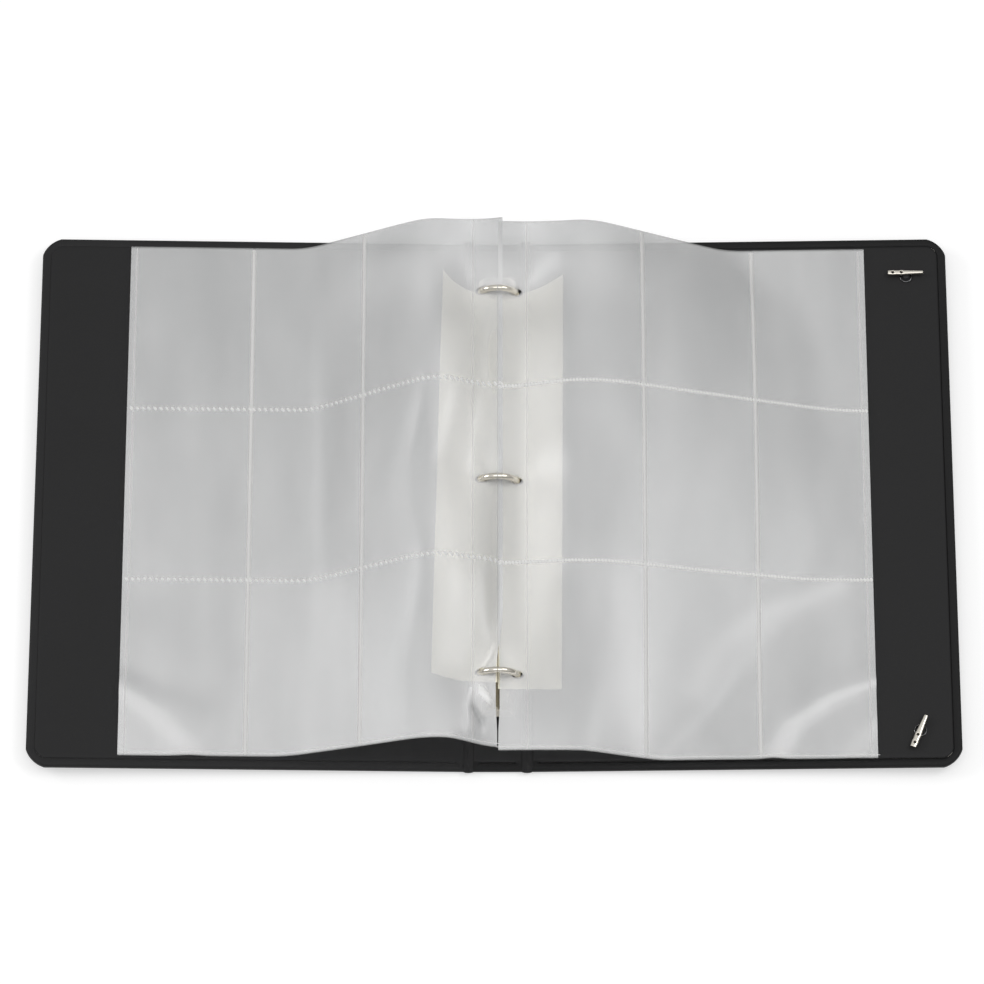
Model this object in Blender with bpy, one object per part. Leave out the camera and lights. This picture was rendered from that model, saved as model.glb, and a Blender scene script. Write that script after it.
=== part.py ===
"""Three-ring photo album lying open: cased covers, ring mechanism, pocket leaves and barb closure.

X runs across the open album, Y along the spine and Z up. The origin is under the middle of the spine.
"""

import math

import bmesh
import bpy
import numpy as np
from mathutils import Matrix, Vector

MM = 0.001
GAP = 0.3 * MM

# Case: height along the spine, widths measured from each crease, and the layers of a panel
CASE_HEIGHT = 299.7 * MM
CASE_MIDDLE_Y = -0.85 * MM
FRONT_REACH = 225.8 * MM
BACK_REACH = 222.2 * MM
CREASE_X = 15.0 * MM
CREASE_Z = 3.5 * MM
PANEL_THICKNESS = 3.7 * MM
SKIN_THICKNESS = 0.6 * MM
LINER_THICKNESS = 0.5 * MM
WELD_BORDER = 4.4 * MM
WEB_HALF_WIDTH = 1.8 * MM
WEB_THICKNESS = 0.9 * MM
WEB_OVERHANG = 1.1 * MM
CORNER_RADIUS = 10.0 * MM
COVER_TILT = math.radians(1.7)
EDGE_ROUND = 0.9 * MM
CLINCH_ROOM_RADIUS = 5.0 * MM
CLINCH_ROOM_TOP = 2.1 * MM

# Ring mechanism
RING_PITCH = 108.0 * MM
RING_NAMES = {"top": RING_PITCH, "middle": 0.0, "bottom": -RING_PITCH}
RING_RADIUS = 10.75 * MM
RING_CENTRE_Z = 24.0 * MM
WIRE_RADIUS = 1.5 * MM
WIRE_SIDES = 10
FOOT_X = 6.6 * MM
RAIL_PIVOT_X = 9.3 * MM
RAIL_PIVOT_Z = 5.65 * MM
RAIL_THICKNESS = 0.8 * MM
RAIL_SLOPE = math.radians(4.7)
RAIL_LENGTH = 236.0 * MM
PLATE_LENGTH = 250.0 * MM
PLATE_SHEET = 0.9 * MM
PLATE_HALF_WIDTH = 10.4 * MM
PLATE_SHOULDER_Z = 8.2 * MM
PLATE_ARCH_RISE = 3.75 * MM
LIP_RADIUS = 1.1 * MM
PLATE_END_ROUND = 5.5 * MM
SLOT_ROUND = 1.2 * MM
SLOT_SIDE_PLAY = 0.45 * MM
SLOT_INNER_PLAY = 0.5 * MM
SLOT_OUTER_PLAY = 1.5 * MM
CUT_TOP = 20.0 * MM
RIVET_Y = 54.0 * MM
RIVET_RADIUS = 2.0 * MM

# Closure on the back cover: eyelets from the crease, the turn of each barb and how far it sits off its eyelet
EYELET_X = 201.0 * MM
EYELET_PLACES = {"upper": (126.4 * MM, 0.0), "lower": (-131.3 * MM, math.radians(67.0))}
EYELET_BORE = 1.9 * MM
EYELET_BARREL = 2.5 * MM
EYELET_FLANGE = 3.4 * MM
BARB_LENGTH = 18.6 * MM
BARB_OFFSETS = {"upper": (-0.3 * MM, 1.3 * MM), "lower": (-1.5 * MM, 0.0)}
BARB_HALF_WIDTH = 1.3 * MM
BARB_THICKNESS = 2.2 * MM
BARB_DIMPLES = (2.6 * MM, 7.1 * MM)

# Pocket leaves: rows of the film surface from the lower to the upper edge
LEAF_HEIGHT = 288.0 * MM
LEAF_REACH = 193.8 * MM
LEAF_THICKNESS = 0.35 * MM
LEAF_HOLE_RADIUS = 3.8 * MM
LEAF_GUTTER = 0.8 * MM
LEAF_STATIONS = np.array((-145.0, -48.0, 48.0, 145.0)) * MM
STACK_CLEARANCE = 0.5 * MM
FLAT_SPACING = 1.1 * MM
RING_SPACING = 4.3 * MM
LEAF_NAMES = ("top", "second", "third")
LEAF_SHAPES = {
    "left": {
        "side": -1.0,
        "middle_y": -0.8 * MM,
        "weld": 128.8 * MM,
        "crest_reach": 31.0 * MM,
        "crest": np.array((37.0, 46.0, 51.0, 45.5)) * MM,
        "gutter": np.array((23.0, 38.0, 39.6, 45.5)) * MM,
        "flat_from": np.array((118.0, 112.0, 112.0, 101.0)) * MM,
        "at_ring": 29.5 * MM,
    },
    "right": {
        "side": 1.0,
        "middle_y": -2.4 * MM,
        "weld": 134.2 * MM,
        "crest_reach": 45.0 * MM,
        "crest": np.array((23.0, 38.0, 51.0, 47.0)) * MM,
        "gutter": np.array((23.0, 34.0, 42.0, 47.0)) * MM,
        "flat_from": np.array((90.0, 172.0, 188.0, 122.0)) * MM,
        "at_ring": 25.0 * MM,
    },
}
RING_PINCH = 17.0 * MM
PINCH_FADE = (12.0 * MM, 30.0 * MM)
SPREAD_FADE = (8.0 * MM, 34.0 * MM)
PUNCH_SPAN = (8.0 * MM, 60.0 * MM)
RING_ROW = 5.0 * MM

# Sheet lifters
LIFTER_HALF_HEIGHT = 113.0 * MM
LIFTER_INNER = 3.0 * MM
LIFTER_OUTER = 31.0 * MM
LIFTER_BASE_Z = 14.1 * MM
LIFTER_CLEARANCE = 5.0 * MM
LIFTER_CURL = 2.6
LIFTER_THICKNESS = 0.5 * MM
LIFTER_HOLE_X = 7.6 * MM
LIFTER_HOLE_RADIUS = 2.6 * MM


def clear_scene():
    for item in list(bpy.data.objects):
        bpy.data.objects.remove(item, do_unlink=True)


def material(name, colour, roughness, metallic=0.0):
    made = bpy.data.materials.new(name)
    made.use_nodes = True
    shader = made.node_tree.nodes["Principled BSDF"]
    shader.inputs["Base Color"].default_value = (*colour, 1.0)
    shader.inputs["Roughness"].default_value = roughness
    shader.inputs["Metallic"].default_value = metallic
    return made


def add_empty(name, location, rotation=(0.0, 0.0, 0.0), parent=None):
    empty = bpy.data.objects.new(name, None)
    empty.location = location
    empty.rotation_euler = rotation
    empty.parent = parent
    bpy.context.collection.objects.link(empty)
    return empty


def add_object(name, shape, finish, parent=None):
    """Turn a bmesh into a named object with outward faces."""
    bmesh.ops.recalc_face_normals(shape, faces=shape.faces)
    mesh = bpy.data.meshes.new(name)
    shape.to_mesh(mesh)
    shape.free()
    mesh.shade_smooth()
    mesh.set_sharp_from_angle(angle=math.radians(35))
    made = bpy.data.objects.new(name, mesh)
    if finish:
        mesh.materials.append(finish)
    made.parent = parent
    bpy.context.collection.objects.link(made)
    return made


def keep_place(made, parent):
    """Parent an object that was built in world space, without moving it."""
    bpy.context.view_layer.update()
    made.parent = parent
    made.matrix_parent_inverse = parent.matrix_world.inverted()


def add_cutter(name, shape, parent=None):
    cutter = add_object(name, shape, None, parent)
    cutter.hide_render = True
    cutter.display_type = "WIRE"
    return cutter


def cut(made, cutter, operation="DIFFERENCE"):
    modifier = made.modifiers.new(cutter.name, "BOOLEAN")
    modifier.operation = operation
    modifier.object = cutter


def rounded_rectangle(low, high, radii, steps=6):
    """Outline from corner low to corner high; radii start at the lower left and run anticlockwise."""
    corners = [
        (low[0], low[1], 1, 1),
        (high[0], low[1], -1, 1),
        (high[0], high[1], -1, -1),
        (low[0], high[1], 1, -1),
    ]
    outline = []
    for number, ((x, y, side_x, side_y), radius) in enumerate(zip(corners, radii)):
        if radius == 0:
            outline.append((x, y))
            continue
        start = math.pi + number * math.pi / 2
        for step in range(steps + 1):
            turn = start + step * math.pi / 2 / steps
            across = x + radius * (side_x + math.cos(turn))
            along = y + radius * (side_y + math.sin(turn))
            outline.append((across, along))
    return outline


def prism(outline, low, high, place):
    """A closed prism: place(a, b, level) gives the corner for an outline point at a level."""
    shape = bmesh.new()
    base = [shape.verts.new(place(a, b, low)) for a, b in outline]
    face = shape.faces.new(base)
    raised = bmesh.ops.extrude_face_region(shape, geom=[face])["geom"]
    tops = [item for item in raised if isinstance(item, bmesh.types.BMVert)]
    lift = Vector(place(0.0, 0.0, high)) - Vector(place(0.0, 0.0, low))
    bmesh.ops.translate(shape, verts=tops, vec=lift)
    return shape


def flat_prism(outline, low, high):
    return prism(outline, low, high, lambda a, b, level: (a, b, level))


def long_prism(outline, half_length):
    """A prism along Y from an outline in X and Z."""
    return prism(outline, -half_length, half_length, lambda a, b, level: (a, level, b))


def cylinder(radius, low, high, place=(0.0, 0.0), sides=16):
    outline = [
        (
            place[0] + radius * math.cos(step * math.tau / sides),
            place[1] + radius * math.sin(step * math.tau / sides),
        )
        for step in range(sides)
    ]
    return flat_prism(outline, low, high)


def turned(profile, sides=16):
    """A closed turned body about Z. Profile points are radius and height, both ends off the axis."""
    shape = bmesh.new()
    points = [shape.verts.new((radius, 0.0, height)) for radius, height in profile]
    pairs = list(zip(points, points[1:] + points[:1]))
    edges = [shape.edges.new(pair) for pair in pairs]
    bmesh.ops.spin(
        shape,
        geom=points + edges,
        axis=(0, 0, 1),
        cent=(0, 0, 0),
        angle=math.tau,
        steps=sides,
        use_merge=True,
    )
    bmesh.ops.remove_doubles(shape, verts=shape.verts, dist=1e-7)
    return shape


def round_rims(shape, levels, width, segments=2):
    """Bevel the edges that lie flat at the given heights."""
    rims = [
        edge
        for edge in shape.edges
        if any(all(abs(vert.co.z - level) < 1e-7 for vert in edge.verts) for level in levels)
    ]
    bmesh.ops.bevel(
        shape, geom=rims, offset=width, segments=segments, profile=0.5, affect="EDGES"
    )


def drop_eyelet_cutters(panel):
    """Clearance holes for the two eyelet barrels, in the back cover's own frame."""
    for name, (along, _) in EYELET_PLACES.items():
        hole = cylinder(EYELET_BARREL + GAP, -2 * CREASE_Z, 2 * CREASE_Z, (EYELET_X, along))
        cut(panel, add_cutter(f"{panel.name}_{name}_hole", hole, panel.parent))


def build_panel(name, low_x, high_x, radii, finishes, parent):
    """One cased panel: outer skin with a welded border, stiffening board and inner liner."""
    low_y = CASE_MIDDLE_Y - CASE_HEIGHT / 2
    high_y = CASE_MIDDLE_Y + CASE_HEIGHT / 2
    outer_z = 0.0 if parent is None else -CREASE_Z
    inner_z = outer_z + PANEL_THICKNESS
    liner_z = inner_z - LINER_THICKNESS

    skin = flat_prism(rounded_rectangle((low_x, low_y), (high_x, high_y), radii), outer_z, inner_z)
    round_rims(skin, (outer_z, inner_z), EDGE_ROUND)
    skin_object = add_object(f"{name}_outer_skin", skin, finishes["skin"], parent)

    def inset(margin):
        corner = (low_x + margin, low_y + margin), (high_x - margin, high_y - margin)
        return rounded_rectangle(*corner, [max(radius - margin, 0.0) for radius in radii])

    pocket = flat_prism(inset(WELD_BORDER), outer_z + SKIN_THICKNESS, inner_z + GAP)
    cut(skin_object, add_cutter(f"{name}_pocket", pocket, parent))

    board_low = outer_z + SKIN_THICKNESS + GAP
    board = flat_prism(inset(WELD_BORDER + GAP), board_low, liner_z - GAP)
    board_object = add_object(f"{name}_board", board, finishes["board"], parent)

    liner = flat_prism(inset(WELD_BORDER + 1.5 * GAP), liner_z, inner_z)
    liner_object = add_object(f"{name}_inner_liner", liner, finishes["liner"], parent)
    return skin_object, board_object, liner_object


def build_case(finishes, front_axis, back_axis):
    edge = WEB_HALF_WIDTH + GAP
    round_left = (CORNER_RADIUS, 0.0, 0.0, CORNER_RADIUS)
    round_right = (0.0, CORNER_RADIUS, CORNER_RADIUS, 0.0)
    square = (0.0, 0.0, 0.0, 0.0)
    build_panel("front", -FRONT_REACH, -edge, round_left, finishes, front_axis)
    for panel in build_panel("back", edge, BACK_REACH, round_right, finishes, back_axis):
        drop_eyelet_cutters(panel)
    spine_edge = CREASE_X - edge
    _, board, liner = build_panel("spine", -spine_edge, spine_edge, square, finishes, None)
    for place in (RIVET_Y, -RIVET_Y):
        for layer in (board, liner):
            hole = cylinder(RIVET_RADIUS + GAP, -CREASE_Z, 2 * CREASE_Z, (0.0, place))
            cut(layer, add_cutter(f"{layer.name}_shank_hole_{place:.3f}", hole))
        clinch_room = cylinder(CLINCH_ROOM_RADIUS, 0.0, CLINCH_ROOM_TOP, (0.0, place), 20)
        cut(board, add_cutter(f"board_clinch_room_{place:.3f}", clinch_room))


def build_hinge_web(name, side, finish):
    """A creased vinyl web; its ends stand a little proud of the covers."""
    top = CREASE_Z
    low = top - WEB_THICKNESS
    crease = 0.28 * MM
    half_crease = 0.7 * MM
    outline = [
        (-WEB_HALF_WIDTH, low),
        (-half_crease, low),
        (0.0, low + crease),
        (half_crease, low),
        (WEB_HALF_WIDTH, low),
        (WEB_HALF_WIDTH, top),
        (half_crease, top),
        (0.0, top - crease),
        (-half_crease, top),
        (-WEB_HALF_WIDTH, top),
    ]
    placed = [(side * CREASE_X + across, up) for across, up in outline]
    web = add_object(name, long_prism(placed, CASE_HEIGHT / 2 + WEB_OVERHANG), finish)
    web.location = (0.0, CASE_MIDDLE_Y, 0.0)


def plate_midline():
    """Half of the plate's sheet from a curled lip, up its side and over the arch to the middle."""
    points = []
    for turn in np.radians(np.linspace(245, 360, 7)):
        across = RAIL_PIVOT_X + LIP_RADIUS * math.cos(turn)
        up = RAIL_PIVOT_Z + LIP_RADIUS * math.sin(turn)
        points.append((across, up))
    for turn in np.radians(np.linspace(0, 90, 9)):
        across = PLATE_HALF_WIDTH * math.cos(turn)
        up = PLATE_SHOULDER_Z + PLATE_ARCH_RISE * math.sin(turn)
        points.append((across, up))
    return points


def ring_slot(across, along):
    """The slot in the plate that a half ring swings in."""
    half_slot = WIRE_RADIUS + SLOT_SIDE_PLAY
    low = (across - WIRE_RADIUS - SLOT_INNER_PLAY, along - half_slot)
    high = (across + WIRE_RADIUS + SLOT_OUTER_PLAY, along + half_slot)
    return rounded_rectangle(low, high, [SLOT_ROUND] * 4, 3)


def build_ring_plate(finish):
    half = plate_midline()
    midline = half + [(-across, up) for across, up in reversed(half[:-1])]
    shape = bmesh.new()
    near = [shape.verts.new((across, -PLATE_LENGTH / 2, up)) for across, up in midline]
    far = [shape.verts.new((across, PLATE_LENGTH / 2, up)) for across, up in midline]
    for number in range(len(midline) - 1):
        shape.faces.new((near[number], near[number + 1], far[number + 1], far[number]))
    plate = add_object("ring_plate", shape, finish)
    sheet = plate.modifiers.new("sheet", "SOLIDIFY")
    sheet.thickness = PLATE_SHEET
    sheet.offset = 0.0
    sheet.use_even_offset = True

    half_length = PLATE_LENGTH / 2 - 0.2 * MM
    width = PLATE_HALF_WIDTH + PLATE_SHEET
    ends = rounded_rectangle((-width, -half_length), (width, half_length), [PLATE_END_ROUND] * 4)
    cut(plate, add_cutter("plate_ends", flat_prism(ends, 0.0, CUT_TOP)), "INTERSECT")
    for ring, along in RING_NAMES.items():
        slot = ring_slot(FOOT_X, along)
        mirrored = [(-across, place) for across, place in reversed(slot)]
        for side, outline in (("right", slot), ("left", mirrored)):
            cutter = flat_prism(outline, PLATE_SHOULDER_Z, CUT_TOP)
            cut(plate, add_cutter(f"{ring}_{side}_slot", cutter))
    for place in (RIVET_Y, -RIVET_Y):
        hole = cylinder(RIVET_RADIUS + GAP, PLATE_SHOULDER_Z, CUT_TOP, (0.0, place))
        cut(plate, add_cutter(f"plate_rivet_hole_{place:.3f}", hole))


def rail_height(across):
    """Middle height of a closed rail, which falls towards the centre line."""
    return RAIL_PIVOT_Z - (RAIL_PIVOT_X - across) * math.tan(RAIL_SLOPE)


def build_rail(name, side, finish, axis):
    """A carrier rail: round outer edge in the plate's lip, feet holes and rivet notches."""
    half = RAIL_THICKNESS / 2
    inner = 0.25 * MM
    outline = [(inner, rail_height(inner) + half), (inner, rail_height(inner) - half)]
    for turn in np.linspace(-math.pi / 2 + RAIL_SLOPE, math.pi / 2 + RAIL_SLOPE, 7):
        across = RAIL_PIVOT_X + half * math.cos(turn)
        outline.append((across, RAIL_PIVOT_Z + half * math.sin(turn)))
    placed = [(side * across, up) for across, up in outline]
    rail = add_object(name, long_prism(placed, RAIL_LENGTH / 2), finish)
    for ring, along in RING_NAMES.items():
        hole = cylinder(1.45 * MM, 0.0, 10.0 * MM, (side * FOOT_X, along), 12)
        cut(rail, add_cutter(f"{name}_{ring}_foot_hole", hole))
    for place in (RIVET_Y, -RIVET_Y):
        notch = cylinder(RIVET_RADIUS + 1.0 * MM, 0.0, 10.0 * MM, (0.0, place))
        cut(rail, add_cutter(f"{name}_notch_{place:.3f}", notch))
    keep_place(rail, axis)


def bezier(start, start_handle, end_handle, end, steps):
    places = np.linspace(0.0, 1.0, steps)[:, None]
    rest = 1.0 - places
    corners = [np.array(point) for point in (start, start_handle, end_handle, end)]
    weights = (rest**3, 3 * rest**2 * places, 3 * rest * places**2, places**3)
    return sum(weight * corner for weight, corner in zip(weights, corners))


def half_ring_path():
    """Points in X and Z of the right-hand half, from the peened foot to the tip, with wire radii."""
    seat = rail_height(FOOT_X)
    half = RAIL_THICKNESS / 2
    shank = 1.05 * MM
    collar = 2.2 * MM
    head = 2.0 * MM
    under = seat - half - 0.35 * MM
    over = seat + half + 0.35 * MM
    foot = [
        (under - 0.6 * MM, head),
        (under, head),
        (under + 0.01 * MM, shank),
        (over - 0.01 * MM, shank),
        (over, collar),
        (over + 0.7 * MM, collar),
        (over + 0.71 * MM, WIRE_RADIUS),
    ]
    points = [np.array((FOOT_X, up)) for up, _ in foot]
    radii = [radius for _, radius in foot]

    leave = math.radians(128)
    tip = math.asin(GAP / 2 / RING_RADIUS)
    turns = np.linspace(leave, tip, 11)
    arc = [
        np.array((RING_RADIUS * math.sin(turn), RING_CENTRE_Z + RING_RADIUS * math.cos(turn)))
        for turn in turns
    ]
    rise = 12.3 * MM
    heading = np.array((-math.cos(leave), math.sin(leave)))
    bend = bezier(
        (FOOT_X, rise), (FOOT_X, rise + 1.9 * MM), arc[0] - 1.6 * MM * heading, arc[0], 4
    )
    points += list(bend[:-1]) + arc
    radii += [WIRE_RADIUS] * (len(bend) - 1 + len(arc))
    return points, radii


def swept_wire(points, radii, side, along):
    """A round wire along points in X and Z, with flat ends."""
    shape = bmesh.new()
    directions = np.gradient(np.array(points), axis=0)
    rings = []
    for point, radius, direction in zip(points, radii, directions):
        direction = direction / np.linalg.norm(direction)
        normal = np.array((direction[1], -direction[0]))
        ring = []
        for step in range(WIRE_SIDES):
            turn = step * math.tau / WIRE_SIDES
            flat = point + radius * math.cos(turn) * normal
            ring.append(
                shape.verts.new((side * flat[0], along + radius * math.sin(turn), flat[1]))
            )
        rings.append(ring)
    for ring, following in zip(rings, rings[1:]):
        for step in range(WIRE_SIDES):
            other = (step + 1) % WIRE_SIDES
            shape.faces.new((ring[step], ring[other], following[other], following[step]))
    shape.faces.new(rings[0])
    shape.faces.new(rings[-1])
    return shape


def build_half_ring(ring, along, side_name, side, finish, axis):
    """A half ring. The left tip carries a nub that enters a socket in the right tip."""
    name = f"{ring}_{side_name}_half_ring"
    points, radii = half_ring_path()
    half_ring = add_object(name, swept_wire(points, radii, side, along), finish)
    apex = RING_CENTRE_Z + RING_RADIUS
    nub_length = 0.9 * MM
    if side < 0:
        reach = (-1.0 * MM, nub_length)
        radius = 0.6 * MM
        operation = "UNION"
    else:
        reach = (-1.0 * MM, nub_length + GAP)
        radius = 0.9 * MM
        operation = "DIFFERENCE"
    tool = prism(
        [
            (along + radius * math.cos(turn), apex + radius * math.sin(turn))
            for turn in np.linspace(0, math.tau, 8, endpoint=False)
        ],
        reach[0],
        reach[1],
        lambda a, b, level: (level, a, b),
    )
    cut(half_ring, add_cutter(f"{name}_tip_tool", tool), operation)
    keep_place(half_ring, axis)


def build_ring_mechanism(finishes):
    build_ring_plate(finishes["nickel"])
    for side_name, side in (("left", -1.0), ("right", 1.0)):
        axis = add_empty(f"{side_name}_rail_axis", (side * RAIL_PIVOT_X, 0.0, RAIL_PIVOT_Z))
        build_rail(f"{side_name}_rail", side, finishes["steel"], axis)
        for ring, along in RING_NAMES.items():
            build_half_ring(ring, along, side_name, side, finishes["nickel"], axis)


def build_rivet(name, along, finish):
    """A post from a domed head on the plate down to a clinched end inside the spine board."""
    seat = PLATE_SHOULDER_Z + PLATE_ARCH_RISE + PLATE_SHEET / 2 + GAP
    foot = 0.95 * MM
    clinch = 3.4 * MM
    head = 3.6 * MM
    bore = 0.6 * MM
    profile = [
        (bore, foot),
        (clinch, foot),
        (clinch, foot + 0.35 * MM),
        (RIVET_RADIUS, foot + 0.4 * MM),
        (RIVET_RADIUS, seat),
        (head, seat),
        (head, seat + 0.4 * MM),
        (0.75 * head, seat + 1.0 * MM),
        (bore, seat + 1.3 * MM),
    ]
    rivet = add_object(name, turned(profile), finish)
    rivet.location = (0.0, along, 0.0)


def build_washer(name, along, finish):
    low = 1.6 * MM
    high = 1.9 * MM
    inner = RIVET_RADIUS + GAP
    outer = 4.6 * MM
    profile = [(inner, low), (outer, low), (outer, high), (inner, high)]
    washer = add_object(name, turned(profile, 20), finish)
    washer.location = (0.0, along, 0.0)


def build_fixings(finishes):
    for name, along in (("upper", RIVET_Y), ("lower", -RIVET_Y)):
        build_rivet(f"{name}_plate_rivet", along, finishes["nickel"])
        build_washer(f"{name}_rivet_washer", along, finishes["steel"])


def build_eyelet(name, axis, finish):
    """A rolled eyelet: flange on the inner face, barrel through the panel and a rolled outer edge."""
    inner_face = PANEL_THICKNESS - CREASE_Z
    top = inner_face + 0.2 * MM
    bottom = -CREASE_Z - 0.2 * MM
    rim = 0.7 * MM
    middle = (EYELET_FLANGE + EYELET_BORE) / 2
    profile = [
        (EYELET_BARREL, bottom),
        (EYELET_BARREL, top),
        (EYELET_FLANGE, top),
        (EYELET_FLANGE, top + 0.3 * rim),
        (middle, top + rim),
        (EYELET_BORE, top + 0.4 * rim),
        (EYELET_BORE, bottom - 0.2 * rim),
        (0.9 * middle, bottom - 0.7 * rim),
        (0.9 * EYELET_FLANGE, bottom - 0.2 * rim),
        (0.9 * EYELET_FLANGE, bottom),
    ]
    add_object(name, turned(profile), finish, axis)


def barb_half_width(along):
    """Half width along the bar: two crimped lobes near one end and a long taper to the other."""
    lobes = sum(
        0.42 * MM * math.exp(-(((along - place) / (1.3 * MM)) ** 2)) for place in BARB_DIMPLES
    )
    taper = max(0.0, (along - 0.45 * BARB_LENGTH) / (0.55 * BARB_LENGTH))
    ends = 0.35 * MM if min(along, BARB_LENGTH - along) < 0.05 * MM else 0.0
    return BARB_HALF_WIDTH * (1.0 - 0.3 * taper) + lobes - ends


def build_barb(name, offset, axis, finish):
    """A crimped sheet-metal bar across its eyelet, with two crimp dimples in its upper face."""
    slide, aside = offset
    low = 1.7 * MM
    middle = low + BARB_THICKNESS / 2
    shape = bmesh.new()
    places = [0.0, 0.3 * MM] + list(np.linspace(1.2 * MM, 9.0 * MM, 8))
    places += [12.0 * MM, 15.5 * MM, BARB_LENGTH - 0.3 * MM, BARB_LENGTH]
    sections = []
    for place in places:
        half = barb_half_width(place)
        tall = BARB_THICKNESS / 2 * (0.8 if place in (0.0, BARB_LENGTH) else 1.0)
        outline = rounded_rectangle((-half, -tall), (half, tall), [0.5 * MM] * 4, 2)
        across = place - BARB_LENGTH / 2 + slide
        sections.append([shape.verts.new((across, aside + a, middle + b)) for a, b in outline])
    for section, following in zip(sections, sections[1:]):
        count = len(section)
        for step in range(count):
            other = (step + 1) % count
            shape.faces.new((section[step], section[other], following[other], following[step]))
    shape.faces.new(sections[0])
    shape.faces.new(sections[-1])
    barb = add_object(name, shape, finish, axis)
    for number, place in enumerate(BARB_DIMPLES):
        dimple = bmesh.new()
        bmesh.ops.create_cone(
            dimple,
            cap_ends=True,
            segments=10,
            radius1=0.3 * MM,
            radius2=0.95 * MM,
            depth=1.4 * MM,
            matrix=Matrix.Translation(
                (place - BARB_LENGTH / 2 + slide, aside, low + BARB_THICKNESS + 0.1 * MM)
            ),
        )
        cut(barb, add_cutter(f"{name}_dimple_{number}", dimple, axis))


def build_elastic_end(name, axis, finish):
    """The end of the elastic, held in the eyelet under the barb."""
    radius = EYELET_BORE - GAP
    add_object(name, cylinder(radius, -CREASE_Z, 1.4 * MM, sides=12), finish, axis)


def build_closure(finishes, back_axis):
    for name, (along, turn) in EYELET_PLACES.items():
        eyelet_axis = add_empty(f"{name}_eyelet_axis", (EYELET_X, along, 0.0), parent=back_axis)
        barb_axis = add_empty(f"{name}_barb_axis", (0, 0, 0), (0, 0, turn), eyelet_axis)
        build_eyelet(f"{name}_eyelet", eyelet_axis, finishes["black_metal"])
        build_barb(f"{name}_barb", BARB_OFFSETS[name], barb_axis, finishes["nickel"])
        build_elastic_end(f"{name}_elastic_end", eyelet_axis, finishes["elastic"])


def smooth_step(start, end, value):
    place = np.clip((value - start) / (end - start), 0.0, 1.0)
    return place * place * (3.0 - 2.0 * place)


def along_leaf(heights, along):
    """A value given at the four leaf stations, on the cubic through them."""
    curve = np.polyfit(LEAF_STATIONS / MM, heights, 3)
    return np.polyval(curve, along / MM)


def cover_height(reach):
    """Height of a tilted cover's inner face at a distance from the spine's middle."""
    rise = max(reach - CREASE_X, 0.0) * math.tan(COVER_TILT)
    return PANEL_THICKNESS + rise


def top_leaf_height(form, reach, along):
    """Height of the top leaf: flat on the cover, up a flank to a crest, then down to the rings."""
    below_top = len(LEAF_NAMES) - 1
    flat = cover_height(reach) + STACK_CLEARANCE + below_top * FLAT_SPACING
    crest = along_leaf(form["crest"], along)
    gutter = along_leaf(form["gutter"], along)
    flank = 1.0 - smooth_step(form["crest_reach"], along_leaf(form["flat_from"], along), reach)
    inside = 1.0 - smooth_step(0.0, form["crest_reach"], reach)
    free = flat + (crest - flat) * flank - (crest - gutter) * inside
    pinch = sum(
        math.exp(-(((along - place) / RING_PINCH) ** 4)) for place in RING_NAMES.values()
    )
    held = pinch * (1.0 - smooth_step(*PINCH_FADE, reach))
    return free + (form["at_ring"] - free) * held


def leaf_height(form, number, reach, along):
    """Height of leaf 0, 1 or 2 from the top; the leaves spread apart round the rings."""
    near_ring = 1.0 - smooth_step(*SPREAD_FADE, reach)
    spacing = FLAT_SPACING + (RING_SPACING - FLAT_SPACING) * near_ring
    return top_leaf_height(form, reach, along) - number * spacing


def film(name, reaches, rows, height, side, thickness, finish):
    """A thin sheet over a grid of distances from the spine and places along it."""
    shape = bmesh.new()
    grid = [
        [shape.verts.new((side * reach, along, height(reach, along))) for along in rows]
        for reach in reaches
    ]
    for near, far in zip(grid, grid[1:]):
        for number in range(len(rows) - 1):
            corners = [near[number], near[number + 1], far[number + 1], far[number]]
            shape.faces.new(corners if side < 0 else corners[::-1])
    for face in shape.faces:
        face.normal_update()
        if face.normal.z < 0:
            face.normal_flip()
    mesh = bpy.data.meshes.new(name)
    shape.to_mesh(mesh)
    shape.free()
    mesh.shade_smooth()
    mesh.materials.append(finish)
    made = bpy.data.objects.new(name, mesh)
    bpy.context.collection.objects.link(made)
    sheet = made.modifiers.new("thickness", "SOLIDIFY")
    sheet.thickness = thickness
    sheet.offset = -1.0
    return made


def punch_ring_holes(sheet, side, reach, radius):
    for ring, along in RING_NAMES.items():
        hole = cylinder(radius, *PUNCH_SPAN, (side * reach, along), 12)
        cut(sheet, add_cutter(f"{sheet.name}_{ring}_hole", hole))


def ring_crossing(height):
    """Distance from the spine's middle at which the ring wire passes a height."""
    return math.sqrt(RING_RADIUS**2 - (height - RING_CENTRE_Z) ** 2)


def leaf_rows(form):
    """Rows of a leaf, closer together about the rings."""
    half = LEAF_HEIGHT / 2
    free = np.array((-126.0, -90.0, -54.0, -18.0, 18.0, 54.0, 90.0, 126.0)) * MM
    held = [place + step for place in RING_NAMES.values() for step in (-RING_ROW, RING_ROW)]
    inner = sorted([*free, *held])
    return [form["middle_y"] - half, *inner, form["middle_y"] + half]


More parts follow.
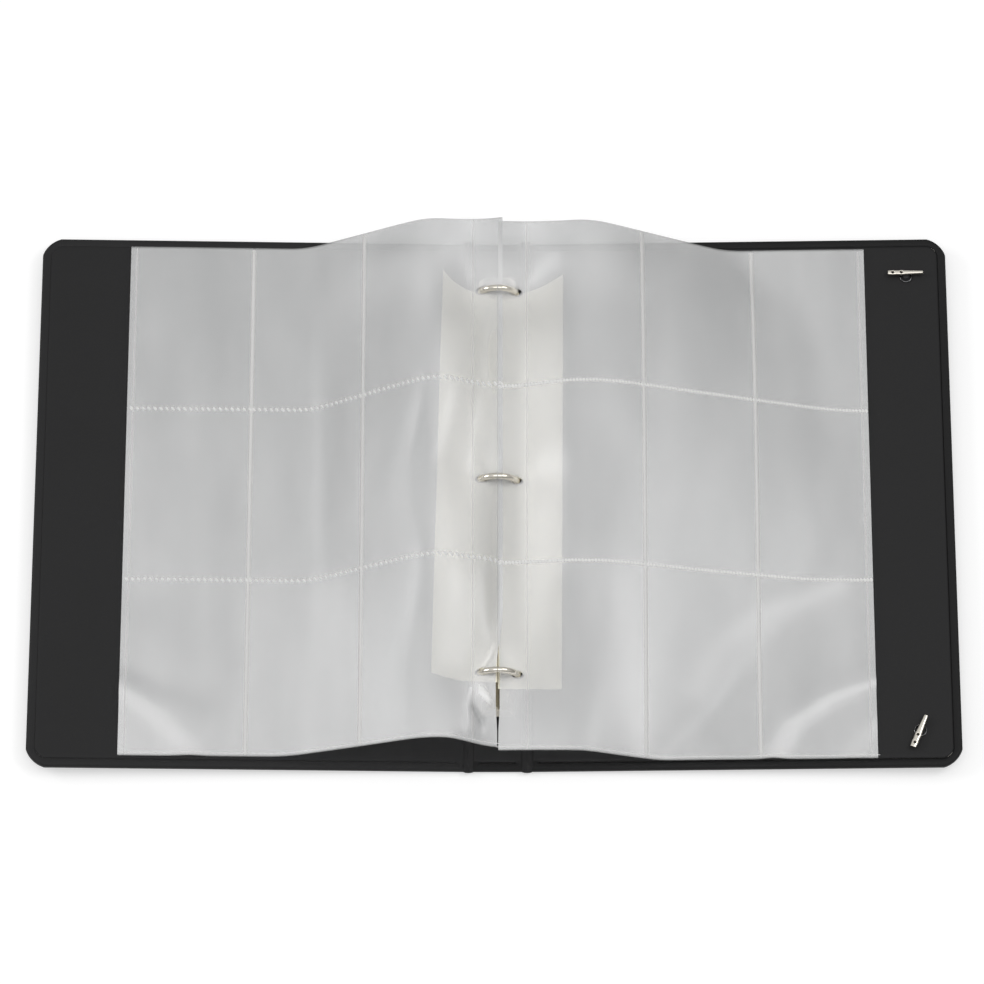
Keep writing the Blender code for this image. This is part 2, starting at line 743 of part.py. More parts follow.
def build_leaves(finish):
    for side_name, form in LEAF_SHAPES.items():
        side = form["side"]
        weld = form["weld"]
        rows = leaf_rows(form)
        inner = np.array((LEAF_GUTTER / MM, 5, 9, 13, 18, 24, 31, 42, 56, 72, 90, 108)) * MM
        outer = np.array((160, LEAF_REACH / MM)) * MM
        for number, leaf in enumerate(LEAF_NAMES):

            def height(reach, along, number=number):
                return leaf_height(form, number, reach, along)

            name = f"{side_name}_{leaf}_leaf"
            columns = [*inner, weld, *outer]
            if number == 0:
                columns = [*inner, weld - GAP / 2]
                flap = [weld + GAP / 2, *outer]
                panel = film(f"{name}_outer", flap, rows, height, side, LEAF_THICKNESS, finish)
                weld_place = (side * weld, 0.0, height(weld, 0.0))
                keep_place(panel, add_empty(f"{side_name}_leaf_axis", weld_place))
                name = f"{name}_inner"
            sheet = film(name, columns, rows, height, side, LEAF_THICKNESS, finish)
            at_ring = leaf_height(form, number, RING_RADIUS - WIRE_RADIUS, 0.0)
            punch_ring_holes(sheet, side, ring_crossing(at_ring), LEAF_HOLE_RADIUS)


def build_lifters(finish):
    """Ivory film troughs that lie on the rings' feet and rise under the leaves."""
    for side_name, form in LEAF_SHAPES.items():

        def height(reach, along, form=form):
            brow = top_leaf_height(form, LIFTER_OUTER, along) - LIFTER_CLEARANCE
            place = (reach - LIFTER_INNER) / (LIFTER_OUTER - LIFTER_INNER)
            return LIFTER_BASE_Z + (brow - LIFTER_BASE_Z) * place**LIFTER_CURL

        reaches = np.linspace(LIFTER_INNER, LIFTER_OUTER, 8)
        rows = np.linspace(-LIFTER_HALF_HEIGHT, LIFTER_HALF_HEIGHT, 9)
        name = f"{side_name}_sheet_lifter"
        lifter = film(name, reaches, rows, height, form["side"], LIFTER_THICKNESS, finish)
        punch_ring_holes(lifter, form["side"], LIFTER_HOLE_X, LIFTER_HOLE_RADIUS)


def main():
    clear_scene()
    finishes = {
        "skin": material("leatherette", (0.028, 0.028, 0.030), 0.55),
        "liner": material("lining", (0.030, 0.030, 0.032), 0.6),
        "board": material("grey_board", (0.36, 0.34, 0.31), 0.9),
        "nickel": material("nickel", (0.72, 0.69, 0.64), 0.22, 1.0),
        "steel": material("plain_steel", (0.5, 0.5, 0.5), 0.35, 1.0),
        "black_metal": material("black_metal", (0.02, 0.02, 0.02), 0.3, 1.0),
        "elastic": material("elastic", (0.02, 0.02, 0.02), 0.85),
        "film": material("pocket_film", (0.62, 0.63, 0.64), 0.25),
        "ivory": material("ivory_film", (0.78, 0.76, 0.69), 0.5),
    }
    front_axis = add_empty(
        "front_hinge_axis", (-CREASE_X, 0.0, CREASE_Z), (0.0, COVER_TILT, 0.0)
    )
    back_axis = add_empty("back_hinge_axis", (CREASE_X, 0.0, CREASE_Z), (0.0, -COVER_TILT, 0.0))
    build_case(finishes, front_axis, back_axis)
    build_hinge_web("front_hinge_web", -1.0, finishes["skin"])
    build_hinge_web("back_hinge_web", 1.0, finishes["skin"])
    build_ring_mechanism(finishes)
    build_fixings(finishes)
    build_closure(finishes, back_axis)
    build_lifters(finishes["ivory"])
    build_leaves(finishes["film"])


main()
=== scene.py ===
"""Ring photo album lying open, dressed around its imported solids.

X runs across the open album, Y along the spine and Z up, in metres. Every piece is made in its place.
"""

import math

import bmesh
import bpy
import numpy as np
from mathutils import Matrix, Vector


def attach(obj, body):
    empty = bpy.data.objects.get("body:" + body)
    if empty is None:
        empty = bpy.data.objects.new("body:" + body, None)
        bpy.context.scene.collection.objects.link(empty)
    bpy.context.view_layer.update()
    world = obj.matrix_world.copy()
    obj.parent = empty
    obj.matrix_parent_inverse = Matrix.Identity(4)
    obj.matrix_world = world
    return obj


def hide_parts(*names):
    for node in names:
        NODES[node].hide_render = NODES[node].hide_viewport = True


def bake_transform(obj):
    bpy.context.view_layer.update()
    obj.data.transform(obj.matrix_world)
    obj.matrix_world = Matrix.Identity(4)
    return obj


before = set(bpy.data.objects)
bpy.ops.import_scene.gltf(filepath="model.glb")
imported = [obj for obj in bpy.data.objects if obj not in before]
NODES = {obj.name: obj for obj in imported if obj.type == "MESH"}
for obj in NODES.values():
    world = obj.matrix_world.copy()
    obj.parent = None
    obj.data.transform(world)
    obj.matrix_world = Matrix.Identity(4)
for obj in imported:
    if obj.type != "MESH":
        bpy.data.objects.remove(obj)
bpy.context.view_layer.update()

bl_info = {
    "name": "Ring photo album",
    "version": (1, 0, 0),
    "blender": (4, 5, 0),
    "location": "View3D > Sidebar > Album",
    "description": "Dresses a packed ring album with leatherette, film, nickel and a studio",
    "category": "Object",
}

MM = 0.001

# Case
CREASE = Vector((15.0, 0.0, 3.5)) * MM
TILT = math.radians(1.7)
CASE_HALF_HEIGHT = 149.85 * MM
CASE_MIDDLE = -0.85 * MM
COVER_REACH = {"front": 225.8 * MM, "back": 222.2 * MM}
PANEL_OUTER = -3.5 * MM
PANEL_INNER = 0.2 * MM
WEB_HALF_WIDTH = 1.8 * MM
WEB_HALF_LENGTH = 150.95 * MM
PANEL_GAP = 0.3 * MM
CORNER_CUT = 0.4

# Ring mechanism
RING_PLACES = {"top": 108.0 * MM, "middle": 0.0, "bottom": -108.0 * MM}
RING_RADIUS = 10.75 * MM
RING_CENTRE = 24.0 * MM
FOOT_X = 6.6 * MM
FOOT_SEAT = 5.43 * MM
RAIL_HALF_THICKNESS = 0.75 * MM
PEENED_RADIUS = 2.0 * MM
NECK_RADIUS = 1.05 * MM
SHOULDER_RADIUS = 2.2 * MM
SHANK_TOP = 12.3 * MM
ARC_START = math.radians(128.0)
HALF_TIP_GAP = 0.15 * MM
WIRE_SIDES = 28

# Closure, in the back cover's own frame
EYELET_X = 201.0 * MM
EYELETS = {"upper": (126.4 * MM, 0.0), "lower": (-131.3 * MM, math.radians(67.0))}
BARB_LENGTH = 18.6 * MM
BARB_OFFSETS = {"upper": (-0.3 * MM, 1.3 * MM), "lower": (-1.5 * MM, 0.0)}
BARB_BREADTHS = {"upper": 1.0, "lower": 1.3}
BARB_LOW = 1.7 * MM
BARB_TALL = 2.2 * MM
BARB_HALF_WIDTH = 1.25 * MM
BARB_TAPER = 0.32
BARB_ROUNDING = 0.35 * MM
BARB_SQUARENESS = 0.75
BARB_DIMPLES = (2.6 * MM, 7.1 * MM)
DIMPLE_RADIUS = 0.7 * MM
DIMPLE_DEPTH = 0.9 * MM
DIMPLE_BULGE = 0.15 * MM
BULGE_LENGTH = 1.5 * MM

# Pocket leaves, with heights at four stations and welds by distance from the spine
LEAF_HALF_HEIGHT = 144.0 * MM
LEAF_REACH = 193.8 * MM
LEAF_GUTTER = 0.8 * MM
LEAF_THICKNESS = 0.35 * MM
LEAF_STATIONS = np.array((-145.0, -48.0, 48.0, 145.0)) * MM
LEAF_HOLE = (3.0 * MM, 1.95 * MM)
LEAF_STEP = 3.6 * MM
CREASED_STEP = 0.8 * MM
CREASED_REACH = (1.0 * MM, 17.0 * MM)
CREASED_ALONG = (-133.0 * MM, -94.0 * MM)
HOLE_SLACK = 0.25 * MM
FLAT_SPACING = 1.1 * MM
RING_SPACING = 0.9 * MM
STACK_CLEARANCE = 0.9 * MM
# Level of painted fold light above which a fold's faces take the painted glare film.
PAINTED_GLARE_LEVEL = 0.97
RING_PINCH = 30.0 * MM
RING_PULL = 26.0 * MM
RING_SPREAD = 19.0 * MM
RING_FALL = 1.7
SPREAD_REACH = (8.0 * MM, 34.0 * MM)
RING_HOLD = 9.0 * MM
SPLIT_SLIT = 0.1 * MM
OVERLAP_RISE = 0.45 * MM
GUTTER_OPEN = 1.0 * MM
GUTTER_SHUT_SHARE = 0.7
GUTTER_OPENS = (-70.0 * MM, -112.0 * MM)
GUTTER_SHUTS = (-124.0 * MM, -140.0 * MM)
GUTTER_REACH = 12.0 * MM
UNDERSIDE_PUFF = 0.4
WELD_FLAT = 4.0 * MM
MARK_OFFSETS = np.array((-3.0, -1.2, 0.0, 1.2, 3.0)) * MM
LEAST_STEP = 0.3 * MM
PUNCH_HEIGHTS = (8.0 * MM, 60.0 * MM)
PUNCH_SIDES = 32
LEAF_NUMBERS = {"top": 0, "second": 1, "third": 2}
LEAVES = {
    "left": {
        "side": -1.0,
        "cover": "front_cover",
        "middle": -0.8 * MM,
        "edge": -2.6 * MM,
        "slant": math.radians(-55.0),
        "row_width": 0.8 * MM,
        "row_length": 1.5 * MM,
        "row_pitch": 3.0 * MM,
        "crest_reach": 28.0 * MM,
        "crest": np.array((37.9, 47.4, 52.4, 47.8)) * MM,
        "gutter": np.array((20.5, 39.2, 41.0, 50.0)) * MM,
        "flat_from": np.array((118.0, 106.0, 106.0, 110.0)) * MM,
        "at_ring": 32.6 * MM,
        "columns": np.array((12.8, 70.2, 128.8, 190.6)) * MM,
        "rows": np.array((49.0, -48.2)) * MM,
        "split": 128.8 * MM,
        "bend": (4.0 * MM, 66.0 * MM, 0.0),
        "lifter": ((28.5 * MM, 116.6 * MM, 9.5 * MM), (33.8 * MM, -109.3 * MM, 3.6 * MM)),
        # Each fold: points, width and rise in millimetres, and a whiteness that paints a highlight, with some
        # stress whitening, where positive and shade where negative.
        "folds": (
            (((195.0, -109.0), (175.0, -123.5), (157.0, -140.0)), 6.0, 2.2, 1.0),
            (((194.0, -100.0), (172.0, -111.0), (150.0, -118.0)), 7.0, 0.0, -0.5),
            (((178.0, -66.0), (150.0, -95.0)), 22.0, 0.0, -0.3),
            (((86.0, -58.0), (80.0, -95.0), (76.0, -140.0)), 20.0, 0.0, 0.4),
            (((3.0, -95.0), (5.0, -101.0), (9.0, -107.0)), 1.8, 1.7, 0.9),
            (((4.4, -124.0), (7.2, -120.5), (9.8, -117.0)), 4.2, 2.4, 1.7),
            (((12.5, -127.0), (10.0, -130.5), (8.0, -133.5)), 1.6, -1.6, -1.2),
            (((13.5, -118.0), (15.5, -128.0), (14.0, -138.0)), 2.4, 1.6, 0.7),
        ),
    },
    "right": {
        "side": 1.0,
        "cover": "back_cover",
        "middle": -2.4 * MM,
        "edge": 0.3 * MM,
        "slant": math.radians(-68.0),
        "row_width": 0.9 * MM,
        "row_length": 1.2 * MM,
        "row_pitch": 1.7 * MM,
        "crest_reach": 40.0 * MM,
        "crest": np.array((22.7, 38.4, 51.9, 48.1)) * MM,
        "gutter": np.array((21.4, 35.0, 44.3, 52.5)) * MM,
        "flat_from": np.array((90.0, 180.0, 196.0, 126.0)) * MM,
        "at_ring": 29.5 * MM,
        "columns": np.array((15.2, 75.8, 134.2, 190.6)) * MM,
        "rows": np.array((47.3, -48.7)) * MM,
        "split": 134.2 * MM,
        "bend": (-10.0 * MM, 64.0 * MM, -20.0),
        "lifter": ((34.2 * MM, 112.9 * MM, 5.0 * MM), (32.6 * MM, -114.6 * MM, 0.6 * MM)),
        # Each fold: points, width and rise in millimetres, and a whiteness that paints a highlight, with some
        # stress whitening, where positive and shade where negative.
        "folds": (
            (((196.0, -105.0), (171.0, -114.5), (150.0, -129.0), (140.5, -144.5)), 4.8, 2.2, 1.2),
            (((196.0, -93.0), (172.0, -103.0), (150.0, -116.0)), 8.0, 0.0, -0.1),
            (((176.0, -51.5), (140.0, -66.0), (114.0, -86.0), (101.0, -112.0)), 9.0, 0.8, 0.5),
            (((73.0, -142.0), (70.0, -95.0), (66.0, -58.0)), 12.0, 0.0, 0.6),
            (((112.0, -62.0), (112.0, -130.0)), 18.0, 0.0, -0.3),
            (((34.0, -62.0), (36.0, -125.0)), 13.0, 0.0, -0.35),
            (((196.0, -126.0), (182.0, -141.0)), 5.0, 0.9, 0.5),
        ),
    },
}

# Sheet lifters
LIFTER_INNER = 0.2 * MM
LIFTER_CLEARANCE = 0.8 * MM
LIFTER_CURL = 3.4
LIFTER_THICKNESS = 0.5 * MM


def colour_setting(name, description, default):
    return bpy.props.FloatVectorProperty(name=name, description=description, subtype="COLOR", default=default)


def length_setting(name, description, default):
    return bpy.props.FloatProperty(name=name, description=description, unit="LENGTH", default=default)


class CaseSettings(bpy.types.PropertyGroup):
    # The outer skin is set darker than the lining: black vinyl, with painted shade on the rims of the back
    # cover and spine.
    leatherette: colour_setting(
        "Leatherette", "Colour of the outer skin of the spine and back cover", (0.008, 0.008, 0.0083)
    )
    lining: colour_setting(
        "Lining", "Colour of the covers' inside, the hinge webs and the front skin", (0.016, 0.016, 0.0165)
    )
    weld_border: length_setting("Weld border", "Width of the welded flange round each panel", 4.4 * MM)
    corner_radius: length_setting("Corner radius", "Radius of the covers' outer corners", 9.6 * MM)


class LeafSettings(bpy.types.PropertyGroup):
    film: colour_setting("Film", "Colour of the hazed pocket film", (0.775, 0.786, 0.786))
    opacity: bpy.props.FloatProperty(
        name="Opacity", description="How much one face of the film hides", subtype="FACTOR", default=0.183
    )
    puff: length_setting("Pocket puff", "How far a pocket stands proud between its welds", 0.25 * MM)
    weld: colour_setting("Weld", "Colour of the dotted welds", (0.73, 0.73, 0.72))
    line_pitch: length_setting("Line pitch", "Distance between the marks of the upright welds", 1.7 * MM)
    ivory: colour_setting("Ivory", "Colour of the sheet lifters", (0.91, 0.865, 0.70))


class MetalSettings(bpy.types.PropertyGroup):
    nickel: colour_setting("Nickel", "Colour of the plated rings, plate and barbs", (0.80, 0.76, 0.68))
    steel: colour_setting("Steel", "Colour of the carrier rails and washers", (0.50, 0.50, 0.50))
    wire_radius: length_setting("Wire radius", "Radius of the ring wire", 1.6 * MM)


class StageSettings(bpy.types.PropertyGroup):
    floor: colour_setting("Floor", "Colour of the floor", (0.62, 0.62, 0.62))
    lens: bpy.props.FloatProperty(
        name="Lens", description="Focal length of the camera, in millimetres", default=211.75
    )
    tilt: bpy.props.FloatProperty(
        name="Camera tilt",
        description="Angle of the view from straight down",
        subtype="ANGLE",
        default=math.radians(24.0),
    )


def settings():
    return bpy.context.scene.album


class AlbumSettings(bpy.types.PropertyGroup):
    case: bpy.props.PointerProperty(type=CaseSettings, name="Case", description="Covers and spine")
    leaf: bpy.props.PointerProperty(type=LeafSettings, name="Leaves", description="Pocket leaves")
    metal: bpy.props.PointerProperty(type=MetalSettings, name="Metal", description="Ring mechanism")
    stage: bpy.props.PointerProperty(type=StageSettings, name="Stage", description="Floor and camera")


# Shader building

TONE_RANGE = (0.25, 0.75)


def add_node(tree, kind, **values):
    """Add a node; a value named after an input sets that input, any other sets a property."""
    node = tree.nodes.new(kind)
    for name, value in values.items():
        label = name.replace("_", " ").title()
        if label in node.inputs:
            node.inputs[label].default_value = value
        else:
            setattr(node, name, value)
    return node


def new_group(name, inputs):
    """A shader node group with named inputs that gives a height and a tone, and its ends."""
    group = bpy.data.node_groups.new(name, "ShaderNodeTree")
    for label, kind, value in inputs:
        socket = group.interface.new_socket(label, in_out="INPUT", socket_type=kind)
        if value is not None:
            socket.default_value = value
    for label in ("Height", "Tone"):
        group.interface.new_socket(label, in_out="OUTPUT", socket_type="NodeSocketFloat")
    return group, group.nodes.new("NodeGroupInput"), group.nodes.new("NodeGroupOutput")


def scaled(group, vector, factor):
    """A vector times a factor."""
    node = add_node(group, "ShaderNodeVectorMath", operation="SCALE")
    group.links.new(vector, node.inputs[0])
    group.links.new(factor, node.inputs["Scale"])
    return node.outputs[0]


def math_node(group, operation, first, second):
    """The result of a sum on two sockets or numbers."""
    node = group.nodes.new("ShaderNodeMath")
    node.operation = operation
    for socket, value in zip(node.inputs, (first, second)):
        if isinstance(value, (int, float)):
            socket.default_value = value
        else:
            group.links.new(value, socket)
    return node.outputs[0]


def grain_group():
    """Pebbled grain of coated cloth: a height, and a tone with random wear that is painted darker in the
    valleys as shade.
    """
    group, start, end = new_group(
        "Leatherette grain",
        (("Vector", "NodeSocketVector", None), ("Scale", "NodeSocketFloat", 1400.0)),
    )
    place = scaled(group, start.outputs["Vector"], start.outputs["Scale"])
    cells = add_node(group, "ShaderNodeTexVoronoi", feature="SMOOTH_F1", smoothness=0.6, scale=1.0)
    fine = add_node(group, "ShaderNodeTexNoise", scale=2.6, detail=3.0)
    cloud = add_node(group, "ShaderNodeTexNoise", scale=0.02, detail=3.0)
    for node in (cells, fine, cloud):
        group.links.new(place, node.inputs["Vector"])
    pebble = math_node(group, "SUBTRACT", 0.8, cells.outputs["Distance"])
    grit = math_node(group, "MULTIPLY", fine.outputs["Fac"], 0.4)
    height = math_node(group, "ADD", pebble, grit)
    group.links.new(height, end.inputs["Height"])
    worn = math_node(group, "MULTIPLY", cloud.outputs["Fac"], 0.7)
    # Painted shade: the tone follows the height, so the grain's valleys come out darker.
    shade = math_node(group, "MULTIPLY", height, 0.5)
    group.links.new(math_node(group, "ADD", worn, shade), end.inputs["Tone"])
    return group


def metal_group():
    """Rubbed plating: fine scratches as a height, and smears as a tone."""
    group, start, end = new_group(
        "Rubbed plating",
        (("Vector", "NodeSocketVector", None), ("Scale", "NodeSocketFloat", 600.0)),
    )
    place = scaled(group, start.outputs["Vector"], start.outputs["Scale"])
    stretch = add_node(group, "ShaderNodeMapping", scale=(6.0, 0.4, 6.0))
    group.links.new(place, stretch.inputs["Vector"])
    lines = add_node(group, "ShaderNodeTexNoise", scale=1.0, detail=4.0)
    group.links.new(stretch.outputs["Vector"], lines.inputs["Vector"])
    smear = add_node(group, "ShaderNodeTexNoise", scale=0.25, detail=3.0)
    group.links.new(place, smear.inputs["Vector"])
    group.links.new(lines.outputs["Fac"], end.inputs["Height"])
    group.links.new(smear.outputs["Fac"], end.inputs["Tone"])
    return group


def film_group():
    """Plastic film: slow ripples as a height, and a milky haze as a tone, with painted shade that darkens it
    upwards and the painted light and shade of its folds added on.
    """
    group, start, end = new_group(
        "Film haze",
        (
            ("Vector", "NodeSocketVector", None),
            ("Scale", "NodeSocketFloat", 40.0),
            ("Fade", "NodeSocketFloat", 0.0),
            ("Painted light", "NodeSocketFloat", 0.0),
        ),
    )
    place = scaled(group, start.outputs["Vector"], start.outputs["Scale"])
    stretch = add_node(group, "ShaderNodeMapping", scale=(1.6, 0.5, 1.0))
    group.links.new(place, stretch.inputs["Vector"])
    ripple = add_node(group, "ShaderNodeTexNoise", scale=0.9, detail=2.0)
    haze = add_node(group, "ShaderNodeTexNoise", scale=0.6, detail=4.0)
    for node in (ripple, haze):
        group.links.new(stretch.outputs["Vector"], node.inputs["Vector"])
    group.links.new(ripple.outputs["Fac"], end.inputs["Height"])
    axes = group.nodes.new("ShaderNodeSeparateXYZ")
    group.links.new(start.outputs["Vector"], axes.inputs["Vector"])
    # Painted shade: the tone falls towards the top of the film and rises towards its foot, most strongly on
    # the left page.
    leftward = math_node(group, "MAXIMUM", math_node(group, "MULTIPLY", axes.outputs["X"], -5.5), 0.1)
    upward = math_node(group, "MULTIPLY", axes.outputs["Y"], leftward)
    shade = math_node(group, "MULTIPLY", upward, start.outputs["Fade"])
    cloud = math_node(group, "MULTIPLY_ADD", haze.outputs["Fac"], 0.33)
    cloud.node.inputs[2].default_value = 0.335
    haze_and_painted_shade = math_node(group, "SUBTRACT", cloud, shade)
    # The last input adds the painted light and shade held in the film's crease attribute.
    group.links.new(math_node(group, "ADD", haze_and_painted_shade, start.outputs["Painted light"]), end.inputs["Tone"])
    return group


def surface(name, colour, roughness, group, scale, bump, tone=0.3, spread=0.1, **sockets):
    """A Principled material whose colour, roughness and normal vary by a shared group."""
    made = bpy.data.materials.new(name)
    made.use_nodes = True
    tree = made.node_tree
    shader = tree.nodes["Principled BSDF"]
    for label, value in sockets.items():
        shader.inputs[label.replace("_", " ")].default_value = value
    place = tree.nodes.new("ShaderNodeTexCoord")
    effect = tree.nodes.new("ShaderNodeGroup")
    effect.node_tree = group
    effect.inputs["Scale"].default_value = scale
    tree.links.new(place.outputs["Object"], effect.inputs["Vector"])

    low, high = TONE_RANGE
    ramp = add_node(tree, "ShaderNodeMapRange", from_min=low, from_max=high)
    ramp.inputs["To Min"].default_value = roughness - spread
    ramp.inputs["To Max"].default_value = roughness + spread
    tree.links.new(effect.outputs["Tone"], ramp.inputs["Value"])
    tree.links.new(ramp.outputs["Result"], shader.inputs["Roughness"])

    shades = tree.nodes.new("ShaderNodeValToRGB")
    shades.color_ramp.elements[0].position = low
    shades.color_ramp.elements[1].position = high
    for element, factor in zip(shades.color_ramp.elements, (1.0 - tone / 2, 1.0 + tone / 2)):
        element.color = (*[min(1.0, channel * factor) for channel in colour], 1.0)
    tree.links.new(effect.outputs["Tone"], shades.inputs["Fac"])
    tree.links.new(shades.outputs["Color"], shader.inputs["Base Color"])

    relief = add_node(tree, "ShaderNodeBump", strength=1.0, distance=bump)
    tree.links.new(effect.outputs["Height"], relief.inputs["Height"])
    tree.links.new(relief.outputs["Normal"], shader.inputs["Normal"])
    return made


def paint_film_light(material):
    """Paint light and shade on the film: lighter towards its lower edge and darker towards its upper edge,
    and the painted light and shade held in the crease attribute.
    """
    tree = material.node_tree
    effect = next(node for node in tree.nodes if node.type == "GROUP")
    effect.inputs["Fade"].default_value = 0.9
    # The crease attribute carries painted light and shade: along the folds, over the lifter and by the rings.
    folds = tree.nodes.new("ShaderNodeAttribute")
    folds.attribute_name = "crease"
    tree.links.new(math_node(tree, "MULTIPLY", folds.outputs["Fac"], 0.3), effect.inputs["Painted light"])


def paint_pit_shade(material):
    """Paint shade into the punched dimples: the metal turns near black there."""
    tree = material.node_tree
    shader = tree.nodes["Principled BSDF"]
    plain = shader.inputs["Base Color"].links[0].from_socket
    pits = tree.nodes.new("ShaderNodeAttribute")
    pits.attribute_name = "pit"
    mixed = add_node(tree, "ShaderNodeMixRGB", color2=(0.008, 0.008, 0.008, 1.0))
    tree.links.new(pits.outputs["Fac"], mixed.inputs["Fac"])
    tree.links.new(plain, mixed.inputs["Color1"])
    tree.links.new(mixed.outputs["Color"], shader.inputs["Base Color"])


def make_materials():
    """Every finish of the album, by name."""
    chosen = settings()
    grain = grain_group()
    plating = metal_group()
    haze = film_group()
    film = tuple(chosen.leaf.film)
    nickel = tuple(chosen.metal.nickel)
    dull = {"Specular_IOR_Level": 0.22}
    # The darker leatherette paints shade on the back cover's and spine's rims; the front skin and hinge webs
    # take the lining's colour.
    surface("grained_leatherette", chosen.case.leatherette, 0.55, grain, 1500.0, 0.09 * MM, **dull)
    surface("worn_leatherette", chosen.case.lining, 0.55, grain, 1500.0, 0.09 * MM, **dull)
    surface("grained_lining", chosen.case.lining, 0.6, grain, 2100.0, 0.05 * MM, **dull)
    surface("grey_board", (0.36, 0.34, 0.31), 0.9, grain, 900.0, 0.05 * MM, 0.25, 0.05)
    rubbed = surface("rubbed_nickel", nickel, 0.12, plating, 500.0, 0.004 * MM, 0.12, 0.05, Metallic=1.0)
    paint_pit_shade(rubbed)
    surface("plain_steel", chosen.metal.steel, 0.34, plating, 700.0, 0.01 * MM, 0.2, 0.08, Metallic=1.0)
    surface("black_enamel", (0.15, 0.15, 0.155), 0.16, plating, 900.0, 0.006 * MM, 0.3, 0.05, Metallic=1.0)
    surface("braided_elastic", (0.022, 0.022, 0.023), 0.85, grain, 4000.0, 0.04 * MM)
    sheet = {"Alpha": chosen.leaf.opacity, "Specular_IOR_Level": 0.8}
    hazed = surface("hazed_film", film, 0.3, haze, 40.0, 0.15 * MM, 0.6, 0.05, **sheet)
    paint_film_light(hazed)
    # A whiter, denser film for the faces of the sharpest folds: a painted glare, with some stress whitening.
    painted_glare = {"Alpha": 0.36, "Specular_IOR_Level": 1.0}
    surface("painted_glare_film", (0.97, 0.97, 0.96), 0.25, haze, 40.0, 0.1 * MM, 0.06, 0.05, **painted_glare)
    surface("weld", chosen.leaf.weld, 0.4, haze, 300.0, 0.02 * MM, 0.08, 0.06)
    line = [0.87 * channel for channel in chosen.leaf.weld]
    surface("weld_line", line, 0.4, haze, 300.0, 0.02 * MM, 0.08, 0.06)
    surface("ivory_film", chosen.leaf.ivory, 0.45, haze, 60.0, 0.1 * MM, 0.05, 0.06)


def finish(name):
    return bpy.data.materials[name]


# Mesh building


def place_object(name, data):
    """Add an object to the scene, at the origin."""
    made = bpy.data.objects.new(name, data)
    bpy.context.scene.collection.objects.link(made)
    return made


def add_piece(name, points, faces, material, crease=35.0):
    """A closed mesh object at the origin with outward faces."""
    mesh = bpy.data.meshes.new(name)
    mesh.from_pydata([tuple(point) for point in points], [], faces)
    shape = bmesh.new()
    shape.from_mesh(mesh)
    bmesh.ops.recalc_face_normals(shape, faces=shape.faces)
    shape.to_mesh(mesh)
    shape.free()
    mesh.shade_smooth()
    mesh.set_sharp_from_angle(angle=math.radians(crease))
    mesh.materials.append(finish(material))
    return place_object(name, mesh)


def path_object(name, points, edges, attributes):
    """An object of bare edges, whose points carry named values for a node tree."""
    mesh = bpy.data.meshes.new(name)
    mesh.from_pydata(points, edges, [])
    for label, kind, field, values in attributes:
        flat = np.array(values, dtype=np.float32).ravel()
        mesh.attributes.new(label, kind, "POINT").data.foreach_set(field, flat)
    return place_object(name, mesh)


def settle(made):
    """Replace an object's mesh by what its modifiers make of it."""
    depsgraph = bpy.context.evaluated_depsgraph_get()
    mesh = bpy.data.meshes.new_from_object(made.evaluated_get(depsgraph))
    made.modifiers.clear()
    made.data = mesh
    mesh.name = made.name
    return made


def new_tree(name, label, kind):
    """A geometry node tree that takes a path, one named value and a material; its start and its curve."""
    tree = bpy.data.node_groups.new(name, "GeometryNodeTree")
    new_socket = tree.interface.new_socket
    new_socket("Geometry", in_out="INPUT", socket_type="NodeSocketGeometry")
    new_socket(label, in_out="INPUT", socket_type=kind)
    new_socket("Material", in_out="INPUT", socket_type="NodeSocketMaterial")
    new_socket("Geometry", in_out="OUTPUT", socket_type="NodeSocketGeometry")
    start = tree.nodes.new("NodeGroupInput")
    path = tree.nodes.new("GeometryNodeMeshToCurve")
    tree.links.new(start.outputs["Geometry"], path.inputs["Mesh"])
    return tree, start, path.outputs["Curve"]


def end_tree(tree, start, shape):
    """Make a tree's instances real and give them its material."""
    real = tree.nodes.new("GeometryNodeRealizeInstances")
    coated = tree.nodes.new("GeometryNodeSetMaterial")
    end = tree.nodes.new("NodeGroupOutput")
    tree.links.new(shape, real.inputs["Geometry"])
    tree.links.new(real.outputs["Geometry"], coated.inputs["Geometry"])
    tree.links.new(start.outputs["Material"], coated.inputs["Material"])
    tree.links.new(coated.outputs["Geometry"], end.inputs["Geometry"])


def named_value(tree, label, kind):
    """A value that the path's points carry."""
    node = add_node(tree, "GeometryNodeInputNamedAttribute", data_type=kind)
    node.inputs["Name"].default_value = label
    return node.outputs["Attribute"]


def run_tree(made, tree, values):
    """Replace a path by what a tree makes of it; the tree's inputs are set by their identifiers."""
    nodes = made.modifiers.new(tree.name, "NODES")
    nodes.node_group = tree
    for socket in tree.interface.items_tree:
        if socket.name in values:
            nodes[socket.identifier] = values[socket.name]
    return settle(made)


def sweep_faces(sections, count, closed=False):
    """Quads between rows of points, each row a ring of count points."""
    faces = []
    rows = range(sections if closed else sections - 1)
    for row in rows:
        following = (row + 1) % sections
        for step in range(count):
            other = (step + 1) % count
            faces.append(
                (row * count + step, row * count + other, following * count + other, following * count + step)
            )
    return faces


def capped(sections, count):
    """Faces of a swept body with both ends closed."""
    last = (sections - 1) * count
    caps = [tuple(range(count))[::-1], tuple(range(last, last + count))]
    return sweep_faces(sections, count) + caps


